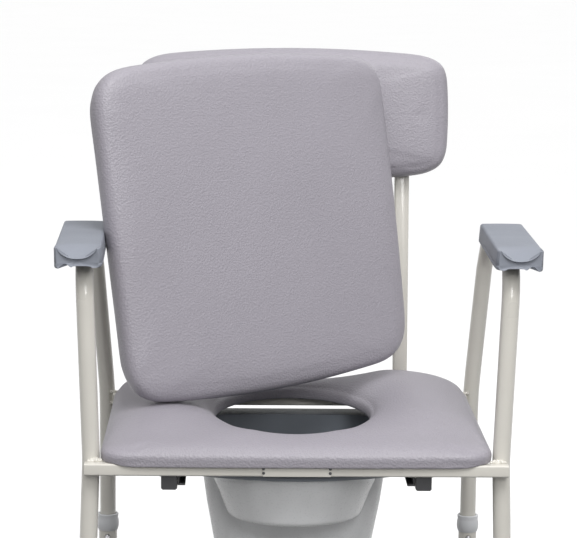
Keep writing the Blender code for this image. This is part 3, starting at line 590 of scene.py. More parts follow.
for name in LEGS:
    x, y, lean = leg_line(name)
    body = f"leg_{name}"
    inner = SLEEVE_R - SLEEVE_WALL
    low = -RAIL_TOP + 6.0
    ring = [(SLEEVE_R, low), (SLEEVE_R, SLEEVE_TOP - 0.4), (SLEEVE_R - 0.4, SLEEVE_TOP),
            (inner + 0.3, SLEEVE_TOP), (inner, SLEEVE_TOP - 0.4), (inner, low)]
    verts, faces = loft(on_leg(ring, 48, name), closed=True)
    sleeve = mesh_object(f"leg_sleeve_{name}", [to_frame(v) for v in verts], faces, PAINT)
    holes = [(x + lean * (PIN_Z - HOLE_PITCH * k), y, PIN_Z - HOLE_PITCH * k) for k in range(5)]
    cut_holes(sleeve, holes, PIN_HOLE_R, SLEEVE_R + 6.0)
    smooth_faces(sleeve, 32.0)
    claim(sleeve, "frame_paint", body, f"leg_extension_{name}")

    barrel = [(SLEEVE_R + GAP, COLLAR_BOTTOM + 0.8), (SLEEVE_R + 0.8, COLLAR_BOTTOM)]
    barrel += [(13.6 + 1.9 * sin(pi * t) ** 0.6, COLLAR_BOTTOM + 0.6 + 18.4 * t)
               for t in np.linspace(0.06, 0.94, 12)]
    barrel += arc(13.4, COLLAR_TOP - 1.6, 1.6, 0.0, pi / 2, 5)
    barrel += [(TUBE_R + 1.1, COLLAR_TOP), (TUBE_R + 0.7, COLLAR_TOP - 0.6), (TUBE_R + 0.7, SLEEVE_TOP + GAP),
               (SLEEVE_R + GAP, SLEEVE_TOP + GAP)]
    verts, faces = loft(on_leg(barrel, 48, name), closed=True)
    add(f"leg_collar_{name}", verts, faces, COLLAR, "grey_plastic", body, f"collar_{name}")

    r = PIN_R
    dome = [(r, TUBE_R - TUBE_WALL + 0.2), (r, SLEEVE_R + 0.3)]
    dome += [(r * cos(a), SLEEVE_R + 0.3 + 2.1 * sin(a)) for a in np.linspace(0.15, 1.45, 9)]
    verts, faces = loft(turned(dome, 32, (x + lean * PIN_Z, y, PIN_Z), (0, -1, 0)))
    add(f"spring_button_{name}", verts, faces, STEEL, "steel", f"button_{name}", f"snap_button_{name}")

    base = -RAIL_TOP
    cup = SLEEVE_R + GAP
    foot = [(0.4, base + 1.4), (7.0, base + 1.4), (8.0, base)]
    foot += arc(15.6, base + 1.4, 1.4, -pi / 2, 0.0, 4) + [(16.9, base + 5.0), (16.3, base + 9.0)]
    for k in range(3):
        z = base + 11.0 + 6.0 * k
        foot += [(15.6, z), (15.5, z + 3.2), (14.9, z + 3.6), (14.9, z + 5.2), (15.4, z + 5.6)]
    foot += [(15.2, base + FOOT_H - 2.0), (14.4, base + FOOT_H), (cup, base + FOOT_H),
             (cup, low - GAP), (0.4, low - GAP)]
    verts, faces = loft(on_leg(foot, 48, name))
    add(f"foot_ferrule_{name}", verts, faces, RUBBER, "rubber", body, f"foot_{name}", angle=50.0)


# ---- outlines and pillows ---------------------------------------------------------------------
def rounded_outline(corners, cuts, bows, per_edge, per_corner):
    """Closed outline through four corners (counter-clockwise), edges bowed outward, corners eased.

    It starts at the middle of corner 0's rounding, so each quarter of the points is one side.
    """
    pts = [np.array(c, float) for c in corners]
    centre = sum(pts) / 4
    out = []
    for i in range(4):
        p, q = pts[i], pts[(i + 1) % 4]
        along = (q - p) / np.linalg.norm(q - p)
        away = np.array([along[1], -along[0]])
        if float(away @ ((p + q) / 2 - centre)) < 0:
            away = -away
        start = p + along * cuts[i]
        stop = q - along * cuts[(i + 1) % 4]
        before = p + (pts[i - 1] - p) / np.linalg.norm(pts[i - 1] - p) * cuts[i]
        after = q + (pts[(i + 2) % 4] - q) / np.linalg.norm(pts[(i + 2) % 4] - q) * cuts[(i + 1) % 4]
        side = []
        for k in range(per_corner):
            t = 0.5 + 0.5 * k / per_corner
            side.append((1 - t) ** 2 * before + 2 * t * (1 - t) * p + t * t * start)
        for k in range(per_edge):
            t = k / (per_edge - 1)
            side.append(start + (stop - start) * t + away * bows[i] * 4 * t * (1 - t))
        for k in range(1, per_corner + 1):
            t = 0.5 * k / per_corner
            side.append((1 - t) ** 2 * stop + 2 * t * (1 - t) * q + t * t * after)
        out.append(side)
    return out


def evenly(sides, n):
    """n points on each side, evenly spaced, as one closed ring of 4 n points, lightly smoothed."""
    ring = []
    for side in sides:
        pts = np.array(side)
        reach = np.concatenate([[0.0], np.cumsum(np.linalg.norm(np.diff(pts, axis=0), axis=1))])
        for k in range(n):
            d = reach[-1] * k / n
            ring.append([np.interp(d, reach, pts[:, 0]), np.interp(d, reach, pts[:, 1])])
    ring = np.array(ring)
    for _ in range(6):
        ring = ring * 0.5 + (np.roll(ring, 1, 0) + np.roll(ring, -1, 0)) * 0.25
    return ring


def inset(ring, d):
    along = np.roll(ring, -1, 0) - np.roll(ring, 1, 0)
    along /= np.linalg.norm(along, axis=1)[:, None]
    inward = np.stack([-along[:, 1], along[:, 0]], 1)
    distance = np.asarray(d, float) * np.ones(len(ring))
    return ring + inward * distance[:, None]


def patch(ring, n):
    """Coons patch over a ring of 4 n points: rows of (n + 1) by (n + 1) plan points."""
    low = ring[:n + 1]
    right = ring[n:2 * n + 1]
    high = ring[2 * n:3 * n + 1][::-1]
    left = np.concatenate([ring[3 * n:], ring[:1]])[::-1]
    rows = []
    for j in range(n + 1):
        v = j / n
        row = []
        for i in range(n + 1):
            u = i / n
            row.append((1 - v) * low[i] + v * high[i] + (1 - u) * left[j] + u * right[j]
                       - (1 - u) * (1 - v) * low[0] - u * (1 - v) * low[n]
                       - (1 - u) * v * high[0] - u * v * high[n])
        rows.append(row)
    return rows


def ring_index(i, j, n):
    """Place on the ring of a patch's border point."""
    if j == 0:
        return i
    if i == n:
        return n + j
    if j == n:
        return 3 * n - i
    return 4 * n - j


def pillow(ring, n, levels, crown, pleats=None):
    """Closed pad: rings up the side from the recess, a crowned face and a flat floor in the recess.

    levels are (inset, height); crown(u, v) is the face's height over the last level, u and v from 0 to 1.
    """
    verts = []
    faces = []
    count = 4 * n
    for d, z in levels:
        step = np.asarray(d, float) * np.ones(count)
        if pleats is not None:
            step = step + pleats(z)
        verts += [(p[0], p[1], z) for p in inset(ring, step)]
    for i in range(len(levels) - 1):
        a, b = i * count, (i + 1) * count
        faces += [(a + k, a + (k + 1) % count, b + (k + 1) % count, b + k) for k in range(count)]
    for level, rise in ((len(levels) - 1, crown), (0, None)):
        border = np.array([v[:2] for v in verts[level * count:(level + 1) * count]])
        z0 = levels[level][1]
        rows = patch(border, n)
        index = {}
        for j in range(n + 1):
            for i in range(n + 1):
                if i in (0, n) or j in (0, n):
                    index[i, j] = level * count + ring_index(i, j, n) % count
                else:
                    index[i, j] = len(verts)
                    lift = rise(i / n, j / n) if rise else 0.0
                    verts.append((rows[j][i][0], rows[j][i][1], z0 + lift))
        for j in range(n):
            for i in range(n):
                quad = (index[i, j], index[i + 1, j], index[i + 1, j + 1], index[i, j + 1])
                faces.append(quad if rise else quad[::-1])
    return verts, faces


def posed(verts, origin, u, v, w):
    o = np.array(origin, float)
    return [tuple(o + p[0] * u + p[1] * v + p[2] * w) for p in verts]


def puff(obj, cap_mm, held):
    """Fill the cover: a short cloth run with air pressure, each point's travel capped, held points fixed."""
    rest = np.array([v.co for v in obj.data.vertices])
    group = obj.vertex_groups.new(name="held")
    group.add([i for i in range(len(rest)) if held[i]], 1.0, "REPLACE")
    mod = obj.modifiers.new("cover", "CLOTH")
    cloth = mod.settings
    cloth.quality = 6
    cloth.mass = 0.35
    cloth.tension_stiffness = 22.0
    cloth.compression_stiffness = 22.0
    cloth.shear_stiffness = 8.0
    cloth.bending_stiffness = 3.0
    cloth.use_pressure = True
    cloth.uniform_pressure_force = 4.0
    cloth.vertex_group_mass = "held"
    cloth.effector_weights.gravity = 0.0
    mod.collision_settings.use_collision = False
    mod.point_cache.frame_start = 1
    mod.point_cache.frame_end = 20
    for step in range(1, 21):
        bpy.context.scene.frame_set(step)
    graph = bpy.context.evaluated_depsgraph_get()
    moved = np.array([v.co for v in obj.evaluated_get(graph).data.vertices])
    obj.modifiers.remove(mod)
    bpy.context.scene.frame_set(1)
    travel = moved - rest
    size = np.linalg.norm(travel, axis=1)
    limit = cap_mm * MM
    soft = limit * np.tanh(size / limit)
    travel *= (soft / np.maximum(size, 1e-9))[:, None]
    obj.data.vertices.foreach_set("co", (rest + travel).ravel())
    obj.data.update()


def soft_piece(name, verts, faces, body, node, held, cap_mm):
    obj = mesh_object(name, [to_frame(v) for v in verts], faces, VINYL)
    if len(obj.data.vertices) == len(held):
        puff(obj, cap_mm, held)
    subdivided(obj, 1)
    obj.data.shade_smooth()
    claim(obj, "vinyl", body, node)


def corner_pleats(n, reach, depth):
    """Small gathers where the cover is pulled round each corner to the back; they die out up the side."""
    k = np.arange(4 * n)
    away = np.minimum(k % n, n - k % n) / (n * 0.16)
    weight = np.exp(-away ** 2)
    fold = np.abs(np.sin(k * 1.9 + 0.6 * np.sin(k * 0.7)))

    def at(z):
        return depth * weight * fold * max(0.0, 1.0 - max(z, 0.0) / reach)
    return at


# ---- seat cushion -----------------------------------------------------------------------------
SEAT_W = 487.0
SEAT_FRONT = -31.5
SEAT_REAR = 402.5
HOLE_A = 103.0
HOLE_REAR = 139.0
HOLE_FRONT = 157.0
HOLE_Y = 224.0
SEAT_Z = 1.8
BOARD_TOP = SEAT_Z + 9.0
PAD_LOW = 14.0
PAD_HIGH = 40.0
SEAT_LIP = 3.6
SEAT_N = 72

half_w = SEAT_W / 2
seat_ring = evenly(rounded_outline(
    [(-half_w, SEAT_FRONT), (half_w, SEAT_FRONT), (half_w, SEAT_REAR), (-half_w, SEAT_REAR)],
    [34.0, 34.0, 74.0, 74.0], [2.0, 0.0, 0.8, 0.0], 24, 12), SEAT_N)


def hole_ring(grow):
    out = []
    for p in seat_ring:
        a = atan2((p[1] - HOLE_Y) / (HOLE_REAR + 90.0), p[0] / (HOLE_A + 140.0))
        depth = HOLE_REAR if sin(a) > 0 else HOLE_FRONT
        out.append([(HOLE_A + grow) * cos(a), HOLE_Y + (depth + grow) * sin(a)])
    return np.array(out)


def with_height(ring, z):
    heights = np.asarray(z, float) * np.ones(len(ring))
    return [(p[0], p[1], h) for p, h in zip(ring, heights)]


def seat_hem(d, droop):
    """Lower edge of the cover: it hangs in front of the front rail and stays above the other rails."""
    front = np.clip((SEAT_FRONT + 5.0 - seat_ring[:, 1]) / 5.0, 0.0, 1.0)
    height = -droop * front + (0.6 + (3.0 - droop) * 0.4) * (1 - front)
    return with_height(inset(seat_ring, d), height)


rings = [with_height(inset(seat_ring, SEAT_LIP), BOARD_TOP + GAP), seat_hem(SEAT_LIP, 2.6),
         seat_hem(2.4, 3.0), seat_hem(1.4, 2.8), seat_hem(0.9, 1.4), with_height(inset(seat_ring, 0.5), 3.0),
         with_height(inset(seat_ring, -0.5), 7.0), with_height(inset(seat_ring, 0.0), 10.5),
         with_height(inset(seat_ring, 1.6), 13.4)]
outer = inset(seat_ring, 4.6)
inner = hole_ring(6.0)
span = np.linalg.norm(inner - outer, axis=1)
for t in (0.0, 0.03, 0.07, 0.12, 0.19, 0.28, 0.38, 0.5, 0.62, 0.72, 0.81, 0.88, 0.94, 0.98, 1.0):
    plan = outer + (inner - outer) * t
    forward = 0.42 + 0.58 * np.clip((plan[:, 1] - 10.0) / 230.0, 0.0, 1.0)
    flank = np.clip((np.abs(plan[:, 0]) - 70.0) / 90.0, 0.0, 1.0)
    fuller = forward + (1 - forward) * flank * np.clip((plan[:, 1] - 20.0) / 90.0, 0.0, 1.0)
    bell = (4 * t * (1 - t)) ** 0.62 if 0 < t < 1 else 0.0
    rise = (PAD_HIGH - PAD_LOW) * fuller * np.minimum(1.0, span / 125.0) * bell
    rings.append(with_height(plan, PAD_LOW + 1.2 + rise))
rings += [with_height(hole_ring(3.4), PAD_LOW + 0.2), with_height(hole_ring(1.2), PAD_LOW - 2.4),
          with_height(hole_ring(0.2), PAD_LOW - 6.0), with_height(hole_ring(0.0), 4.0),
          with_height(hole_ring(0.3), 0.4), with_height(hole_ring(1.6), -0.6),
          with_height(hole_ring(SEAT_LIP), -0.6), with_height(hole_ring(SEAT_LIP), BOARD_TOP + GAP)]
verts, faces = loft(rings, closed=True)
ring_count = len(seat_ring)
fixed_rings = {0, 1, 2, 3, 4} | {len(rings) - k for k in (1, 2, 3, 4, 5)}
held = [i // ring_count in fixed_rings for i in range(len(verts))]
soft_piece("seat_pad", verts, faces, "seat", "seat_cushion", held, 1.3)

# ---- backrest cushion -------------------------------------------------------------------------
POST_LEAN = 0.098
POST_X = 156.0
POST_Y = 414.0
POST = 20.0
lean_len = sqrt(1 + POST_LEAN ** 2)
POST_UP = np.array([0.0, POST_LEAN, 1.0]) / lean_len
POST_FWD = np.array([0.0, -1.0, POST_LEAN]) / lean_len
SIDEWAYS = np.array([1.0, 0.0, 0.0])


def on_post(x, z, forward=0.0):
    return np.array([x, POST_Y + POST_LEAN * z, z]) + POST_FWD * forward


BACK_W = 432.0
BACK_LOW = 303.0
BACK_HIGH = 482.0
BACK_THICK = 42.0
back_half = (BACK_HIGH - BACK_LOW) / 2 * lean_len
PAD_N = 56
back_ring = evenly(rounded_outline(
    [(-BACK_W / 2 - 1, -back_half + 3), (BACK_W / 2 + 1, -back_half + 3),
     (BACK_W / 2, back_half - 9), (-BACK_W / 2 - 3.0, back_half - 10)],
    [44.0, 46.0, 40.0, 46.0], [9.0, 1.2, 9.0, 1.2], 24, 12), PAD_N)


def dome_over(height, power):
    """Crowned face: full over most of its area, falling off to the rim."""
    def at(u, v):
        a = 1 - abs(2 * u - 1) ** power
        b = 1 - abs(2 * v - 1) ** power
        return height * (a * b) ** 0.62
    return at


def held_below(verts, z_limit):
    return [v[2] < z_limit for v in verts]


back_origin = on_post(0.0, (BACK_LOW + BACK_HIGH) / 2, POST / 2 + GAP)
levels = [(3.5, 9.3), (3.5, 1.5), (2.2, 1.3), (0.8, 1.9), (0.0, 3.6), (-0.3, 9.0), (-0.3, 16.0), (0.2, 21.0),
          (1.7, 25.5), (4.4, 29.2), (8.2, 31.6), (13.0, 33.0)]
verts, faces = pillow(back_ring, PAD_N, levels, dome_over(BACK_THICK - 33.4, 3.0),
                      corner_pleats(PAD_N, 12.0, 0.9))
held = held_below(verts, 9.1)
soft_piece("backrest_pad", posed(verts, back_origin, SIDEWAYS, POST_UP, POST_FWD), faces,
           "backrest", "backrest_cushion", held, 0.5)

# ---- loose infill cushion ---------------------------------------------------------------------
INFILL_LONG = 439.0
INFILL_SHORT = 424.0
INFILL_D = 446.0
INFILL_T = 44.0
INFILL_AT = (-49.4, 248.6, 263.0)
LEAN = radians(9.2)
YAW = radians(32.3)
ROLL = radians(1.8)
across = np.array([cos(YAW), sin(YAW), 0.0])
backward = np.array([-sin(YAW), cos(YAW), 0.0])
upward = cos(LEAN) * np.array([0.0, 0.0, 1.0]) + sin(LEAN) * backward
INFILL_U = cos(ROLL) * across + sin(ROLL) * upward
INFILL_V = -sin(ROLL) * across + cos(ROLL) * upward
INFILL_W = np.cross(INFILL_U, INFILL_V)
infill_ring = evenly(rounded_outline(
    [(-INFILL_D / 2 + 1.0, -INFILL_LONG / 2), (INFILL_D / 2 - 1.0, -INFILL_SHORT / 2),
     (INFILL_D / 2 - 1.0, INFILL_SHORT / 2), (-INFILL_D / 2 - 6.5, INFILL_LONG / 2 + 1.0)],
    [60.0, 62.0, 52.0, 62.0], [9.0, 2.0, 9.0, 0.4], 24, 12), PAD_N)
infill_origin = np.array(INFILL_AT) - INFILL_W * (INFILL_T / 2)
levels = [(13.7, 6.3), (13.7, 1.5), (11.0, 1.2), (8.2, 1.9), (5.0, 4.2), (2.3, 8.4), (0.7, 13.6), (0.0, 19.5),
          (0.0, 25.0), (1.1, 29.8), (3.6, 33.8), (7.6, 36.8), (13.0, 38.7), (19.0, 39.8)]
verts, faces = pillow(infill_ring, PAD_N, levels, dome_over(INFILL_T - 40.2, 3.4),
                      corner_pleats(PAD_N, 16.0, 1.0))
held = held_below(verts, 6.4)
soft_piece("infill_pad", posed(verts, infill_origin, INFILL_U, INFILL_V, INFILL_W), faces,
           "infill", "infill_cushion", held, 1.0)


# ---- staples on the pads' backs ---------------------------------------------------------------
def staples(name, ring, d, z, origin, u, v, w, count, body):
    """Wire staples that hold the cover to the board, lying along the hem."""
    line = inset(ring, d)
    bars = []
    for k in range(count):
        i = int(len(line) * k / count)
        p = np.array(line[i])
        q = np.array(line[(i + 1) % len(line)])
        along = (q - p) / np.linalg.norm(q - p)
        turn = 0.35 * noise.noise(Vector((k * 1.7, d, 3.0)))
        along = np.array([along[0] * cos(turn) - along[1] * sin(turn),
                          along[0] * sin(turn) + along[1] * cos(turn)])
        path = [(*(p + along * t), z) for t in (-5.0, -2.5, 0.0, 2.5, 5.0)]
        bars.append(sweep(path, [0.3, 0.45, 0.45, 0.45, 0.3], 8))
    verts, faces = joined([(posed(v_, origin, u, v, w), f_) for v_, f_ in bars])
    return add(name, verts, faces, STEEL, "steel", body)


staples("infill_staples", infill_ring, 18.0, 0.35, infill_origin, INFILL_U, INFILL_V, INFILL_W, 60, "infill")


# ---- fasteners --------------------------------------------------------------------------------
def pan_head(r, height):
    """Head profile from its bearing face outwards, domed, with a hex recess floor."""
    head = [(r, 0.0), (r, height * 0.35)]
    head += [(r * cos(a) ** 0.8, height * (0.35 + 0.65 * sin(a))) for a in np.linspace(0.2, 1.15, 7)]
    return head + [(r * 0.42, height), (r * 0.42, height * 0.35)]


for s, side in SIDES:
    for level, z in (("lower", 335.0), ("upper", 440.0)):
        head = pan_head(5.8, 3.4)
        stations = [(2.9, -(POST + 6.0))] + [(2.9, 0.0)] + head
        verts, faces = loft(turned(stations, 32, on_post(s * POST_X, z, -POST / 2 - GAP), -POST_FWD))
        add(f"back_bolt_{level}_{side}", verts, faces, STEEL, "steel", "backrest",
            f"backrest_bolt_{level}_{side}")
    for end, y in (("front", 70.0), ("rear", 230.0)):
        head = pan_head(5.2, 3.0)
        stations = [(2.6, -(2 * TUBE_R + 7.0))] + [(2.6, 0.0)] + head
        at = (s * arm_centre_x(y), y, arm_z(y) - TUBE_R - GAP)
        verts, faces = loft(turned(stations, 32, at, (0, 0, -1)))
        add(f"arm_screw_{end}_{side}", verts, faces, STEEL, "steel", "frame", f"armrest_screw_{end}_{side}")

# ---- armrests ---------------------------------------------------------------------------------
ARM_FRONT = -32.0
ARM_LENGTH = 310.0
ARM_HALF = 27.8
ARM_TOP = 269.0
ARM_OUT = 6.0
ARM_DEPTH = 25.0
NOSE = 40.0               # length over which the top dips down to the front lip
DIP = 14.0
EDGE_R = 3.2


def arm_section(d):
    """Cross-section at distance d from the front: points (across, height below the top line)."""
    front = max(0.0, 1.0 - d / NOSE)
    rear = max(0.0, 1.0 - (ARM_LENGTH - d) / 16.0)
    half = ARM_HALF + 0.6 - 3.4 * max(0.0, 1.0 - d / 9.0) ** 2.2 - 4.2 * rear ** 2.4
    fall = 1.3 * front ** 2 + 2.2 * rear ** 2

    def top(x):
        u = min(1.0, abs(x) / (half - 0.6))
        return -fall - DIP * (1.0 - u ** 2.3) ** 0.75 * front ** 1.9 + 0.5 * (1 - u * u) * (1 - front)

    def bottom(x):
        if x > 8.0:
            t = (x - 8.0) / (half - 10.6)
            return -ARM_DEPTH - 1.9 * t * t + 4.8 * sin(pi * min(1.0, t)) ** 1.1
        return -ARM_DEPTH - 0.6 * sin(pi * min(1.0, max(0.0, (-x - 17.0) / (half - 16.0))))

    edge_r = EDGE_R - 1.2 * front
    edge = top(half)
    pts = [(x, top(x)) for x in np.linspace(-(half - edge_r), half - edge_r, 29)]
    pts += [(half - edge_r + edge_r * sin(a), edge - edge_r + edge_r * cos(a))
            for a in np.linspace(0.35, pi / 2, 5)]
    low = bottom(half - 2.6)
    seam = low + 6.0
    pts += [(half - 0.2, (edge - edge_r + seam) / 2), (half - 0.3, seam + 0.5), (half - 0.75, seam),
            (half - 0.3, seam - 0.5), (half - 0.5, low + 2.4), (half - 1.2, low + 0.7), (half - 2.6, low)]
    groove_half = TUBE_R + 0.9
    groove_top = -(ARM_TOP - ARM_Z - TUBE_R - 0.9)
    centre = -ARM_OUT
    pts += [(x, bottom(x)) for x in np.linspace(half - 4.4, centre + groove_half + 0.8, 11)]
    deep = 1.0 if d > 14.0 else 0.0
    for k in range(13):
        a = pi * k / 12
        x = centre + groove_half * cos(a)
        rise = (groove_top - bottom(x)) * deep + 1.6 * (1 - deep)
        pts.append((x, bottom(x) + rise * sin(a) ** 0.55))
    pts += [(x, bottom(x)) for x in np.linspace(centre - groove_half - 0.8, -half + 1.6, 4)]
    low = bottom(-half)
    seam = low + 5.5
    pts += [(-half - 0.6, low + 0.4), (-half - 1.5, low + 1.6), (-half - 1.6, seam - 0.5),
            (-half - 1.0, seam), (-half - 1.4, seam + 0.5), (-half - 0.8, (edge - edge_r + seam) / 2)]
    pts += [(-half + edge_r - edge_r * sin(a), edge - edge_r + edge_r * cos(a))
            for a in np.linspace(pi / 2, 0.35, 5)]
    return pts


for s, side in SIDES:
    rings = []
    stations = [0.9, 1.8, 3.2, 5.0, 7.5, 10.5, 13.9, 14.1, 18.0, 22.0, 26.0, 30.0, 35.0, 40.0, 50.0, 70.0,
                110.0, 160.0, 210.0, 260.0, 288.0, 296.0, 300.0, 303.5, 306.0, 308.0, 309.3]
    ends = [(0.40, 3.4), (0.62, 2.7), (0.78, 1.8), (0.88, 1.0), (0.94, 0.35), (0.972, 0.0), (0.992, 0.25)]
    cuts = [(f, d, 0.9) for f, d in ends] + [(1.0, d, d) for d in stations]
    cuts += [(0.985, ARM_LENGTH, 309.3), (0.94, ARM_LENGTH + 0.2, 309.3)]
    for f, d, shape_at in cuts:
        y = ARM_FRONT + d
        cx = arm_centre_x(max(y, 0.0)) + ARM_OUT
        crest = ARM_TOP - ARM_FALL * y
        rings.append([(s * (cx + a * f), y, crest - 19.0 + (b + 19.0) * f) for a, b in arm_section(shape_at)])
    verts, faces = loft(rings)
    add(f"arm_pad_{side}", verts, faces, ARM, "arm_foam", "frame", f"armrest_{side}", angle=50.0)

# ---- seat clip --------------------------------------------------------------------------------
refined("seat_front_clip", PAINT, 0.4)
CLIP_FACE = -TUBE_R - GAP - RAIL - 1.5
# Two small black domes at each end of the clip stand for the dark gaps seen there: painted shade.
for s, side in SIDES:
    dots = []
    for z in (-4.6, -10.0):
        dots.append(loft(turned([(1.9, 0.4), (1.9, -0.2), (1.5, -0.5), (0.5, -0.65)], 20,
                                (s * 41.0, CLIP_FACE, z), (0, 1, 0))))
    verts, faces = joined(dots)
    add(f"clip_gap_shade_dots_{side}", verts, faces, BLACK, "black_plastic", "seat")

# ---- pan --------------------------------------------------------------------------------------
PAN_TOP = -20.0
RIM_LOW = PAN_TOP - 6.6
PAN_FRONT = -6.0
PAN_REAR = 390.0
PAN_HALF_W = 142.0
PAN_WALL = 2.6
BOWL_LOW = -91.0
BUCKET_LOW = -186.0


def pan_plan(half, front, rear, bow, corner):
    """Plan of the flange: bowed front, square rear with round corners."""
    pts = [(half * (2 * k / 40 - 1), front + bow * (2 * k / 40 - 1) ** 2) for k in range(41)]
    pts += [(half, front + bow + (rear - corner - front - bow) * k / 12) for k in range(1, 12)]
    pts += [(half - corner + corner * cos(a), rear - corner + corner * sin(a))
            for a in np.linspace(0, pi / 2, 9)]
    pts += [((half - corner) * (1 - 2 * k / 12), rear) for k in range(1, 12)]
    pts += [(-half + corner + corner * cos(a), rear - corner + corner * sin(a))
            for a in np.linspace(pi / 2, pi, 9)]
    pts += [(-half, rear - corner - (rear - corner - front - bow) * k / 12) for k in range(1, 12)]
    return np.array(pts)


def stack(levels):
    return loft([[(x, y, z) for x, y in ring] for ring, z in levels])


def filleted(rows, r):
    """Rows of (half width, height) down a wall, the last corner before the floor rounded by r."""
    (w0, z0), (w1, z1) = rows[-2], rows[-1]
    k = min(1.0, r / hypot(w1 - w0, z1 - z0))
    start = (w1 + (w0 - w1) * k, z1 + (z0 - z1) * k)
    end = (w1 - r, z1)
    out = rows[:-1]
    for i in range(7):
        t = i / 6
        out.append(tuple((1 - t) ** 2 * a + 2 * t * (1 - t) * b + t * t * c
                         for a, b, c in zip(start, rows[-1], end)))
    return out


def bowl_rows(shrink, top):
    """Shallow front bowl: an ellipse in plan, drafted, with a rounded foot."""
    wall = [(113.0, top), (98.0, -58.0), (88.0, -84.0), (85.0, BOWL_LOW - 2.0 + shrink)]
    turns = np.linspace(0, 2 * pi, 96, False)
    return [([((a - shrink) * cos(t), 95.0 + (a * 0.86 - shrink) * sin(t)) for t in turns], z)
            for a, z in filleted(wall, 8.0)]


def bucket_rows(shrink, top):
    """Deep rear bucket: a rounded rectangle in plan."""
    wall = [(121.0, top), (113.0, -86.0), (97.0, BUCKET_LOW + 8.0), (95.5, BUCKET_LOW + shrink)]
    rows = []
    for w, z in filleted(wall, 7.0):
        half = w - shrink
        lo = 96.0 + (121.0 - w) * 0.95 + shrink
        hi = 352.0 - (121.0 - w) * 1.08 - shrink
        r = 34.0
        ring = []
        for cx, cy, a0 in ((half - r, lo + r, -pi / 2), (half - r, hi - r, 0.0),
                           (-half + r, hi - r, pi / 2), (-half + r, lo + r, pi)):
            ring += [(cx + r * cos(a0 + pi / 2 * k / 12), cy + r * sin(a0 + pi / 2 * k / 12))
                     for k in range(13)]
        rows.append((ring, z))
    return rows


def boolean(target, levels, operation, look):
    verts, faces = stack(levels)
    other = mesh_object("pan_tool", [to_frame(v) for v in verts], faces, look)
    mod = target.modifiers.new("tool", "BOOLEAN")
    mod.operation = operation
    mod.object = other
    mod.solver = "EXACT"
    mod.material_mode = "TRANSFER"
    settle(target)
    bpy.data.objects.remove(other, do_unlink=True)


plan = pan_plan(PAN_HALF_W, PAN_FRONT, PAN_REAR, 38.0, 16.0)
rim = [(inset(plan, d), z) for d, z in ((1.2, RIM_LOW), (0.3, RIM_LOW + 0.6), (0.0, RIM_LOW + 1.6),
                                        (0.0, PAN_TOP - 1.4), (0.4, PAN_TOP - 0.4), (1.4, PAN_TOP))]
verts, faces = stack([([tuple(p) for p in ring], z) for ring, z in rim])
# The flange is built in the dark copy, so its darker tone is painted shade.
pan = mesh_object("pan_moulding", [to_frame(v) for v in verts], faces, PAN_PAINTED_SHADE)
boolean(pan, bowl_rows(0.0, RIM_LOW + 2.0), "UNION", PAN)
boolean(pan, bucket_rows(0.0, RIM_LOW + 2.0), "UNION", PAN)
# The inside, cut by the two DIFFERENCE tools, takes the dark copy too: painted shade.
boolean(pan, bowl_rows(PAN_WALL, PAN_TOP + 6.0), "DIFFERENCE", PAN_PAINTED_SHADE)
boolean(pan, bucket_rows(PAN_WALL, PAN_TOP + 6.0), "DIFFERENCE", PAN_PAINTED_SHADE)
smooth_faces(pan, 38.0)
claim(pan, "pan_plastic", "pan", "pan")


# ---- stage, light, camera ---------------------------------------------------------------------
def floor_material():
    s = Shader("studio_floor", (0.95, 0.95, 0.95), 0.7)
    patch_ = s.noise(1.5, 2.0, 0.5)
    s.tint(patch_, (0.945, 0.945, 0.945), (0.955, 0.955, 0.955))
    return s.mat


FLOOR = 60.0              # metres from the middle to each side
corners = [(x * FLOOR, y * FLOOR, 0.0) for x, y in ((-1, -1), (1, -1), (1, 1), (-1, 1))]
floor = mesh_object("floor", corners, [(0, 1, 2, 3)], floor_material())
floor.visible_diffuse = False      # the light from below comes from the world's lower half instead
floor.visible_shadow = False

world = bpy.data.worlds.new("studio")
world.use_nodes = True
tree = world.node_tree
direction = tree.nodes.new("ShaderNodeTexCoord")
axes = tree.nodes.new("ShaderNodeSeparateXYZ")
height = tree.nodes.new("ShaderNodeMapRange")
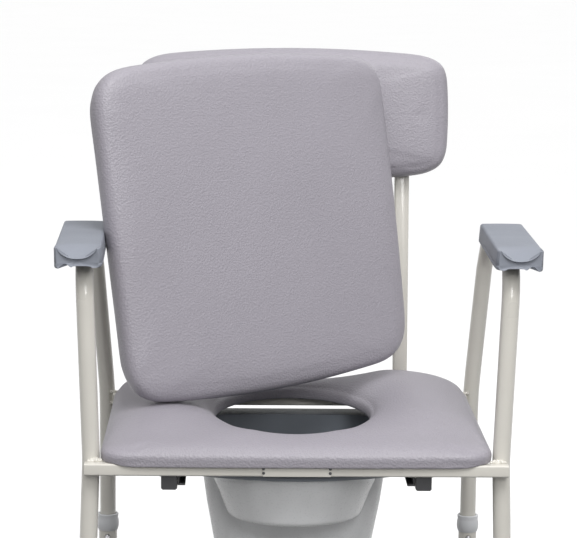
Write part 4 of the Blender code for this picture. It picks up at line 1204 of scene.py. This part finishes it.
# strength by the direction's height: dim from below, bright from overhead
for socket, value in (("From Min", -0.30), ("From Max", 0.64), ("To Min", 0.06), ("To Max", 0.89)):
    height.inputs[socket].default_value = value
background = tree.nodes["Background"]
background.inputs["Color"].default_value = (1.0, 1.0, 1.0, 1.0)
tree.links.new(direction.outputs["Generated"], axes.inputs["Vector"])
tree.links.new(axes.outputs["Z"], height.inputs["Value"])
tree.links.new(height.outputs["Result"], background.inputs["Strength"])
bpy.context.scene.world = world
bpy.context.scene.view_settings.view_transform = "Standard"


def area_light(name, place, target, size, power, spread=180.0):
    """A square light at place, aimed at target: metres, watts and degrees."""
    data = bpy.data.lights.new(name, "AREA")
    data.size = size
    data.energy = power
    data.spread = radians(spread)
    obj = bpy.data.objects.new(name, data)
    obj.location = place
    obj.rotation_euler = (Vector(target) - Vector(place)).to_track_quat("-Z", "Y").to_euler()
    bpy.context.scene.collection.objects.link(obj)


area_light("key", (0.25, -1.3, 2.3), (0.0, 0.10, 0.80), size=0.8, power=18.0)
area_light("strip", (0.5, -2.6, 1.8), (0.08, 0.2, 0.90), size=0.9, power=3.2, spread=60.0)
area_light("back", (1.6, 1.9, 2.4), (0.0, 0.0, 0.5), size=1.4, power=8.0)
sun_data = bpy.data.lights.new("overhead_bank", "SUN")
sun_data.energy = 0.95
sun_data.angle = radians(42.0)
sun = bpy.data.objects.new("overhead_bank", sun_data)
sun.rotation_euler = Vector((-0.04, 0.46, -0.88)).to_track_quat("-Z", "Y").to_euler()
bpy.context.scene.collection.objects.link(sun)

EYE = (-74.24, -2761.5, 672.5)
EYE_YAW, EYE_PITCH, EYE_ROLL = 0.0224, 0.1554, 0.0103
FOCAL_RATIO = 2284.0 / 577.0          # focal length over image width
ahead = Vector((sin(EYE_YAW) * cos(EYE_PITCH), cos(EYE_YAW) * cos(EYE_PITCH), -sin(EYE_PITCH)))
right = Vector((cos(EYE_YAW), -sin(EYE_YAW), 0.0))
up = right.cross(ahead)
tilt_right = right * cos(EYE_ROLL) + up * sin(EYE_ROLL)
tilt_up = -right * sin(EYE_ROLL) + up * cos(EYE_ROLL)
camera_data = bpy.data.cameras.new("camera")
camera_data.sensor_width = 36.0
camera_data.lens = FOCAL_RATIO * camera_data.sensor_width
camera = bpy.data.objects.new("camera", camera_data)
bpy.context.scene.collection.objects.link(camera)
basis = Matrix((tilt_right, tilt_up, -ahead)).transposed().to_4x4()
camera.matrix_world = Matrix.Translation(Vector(to_frame(EYE))) @ basis
bpy.context.scene.camera = camera
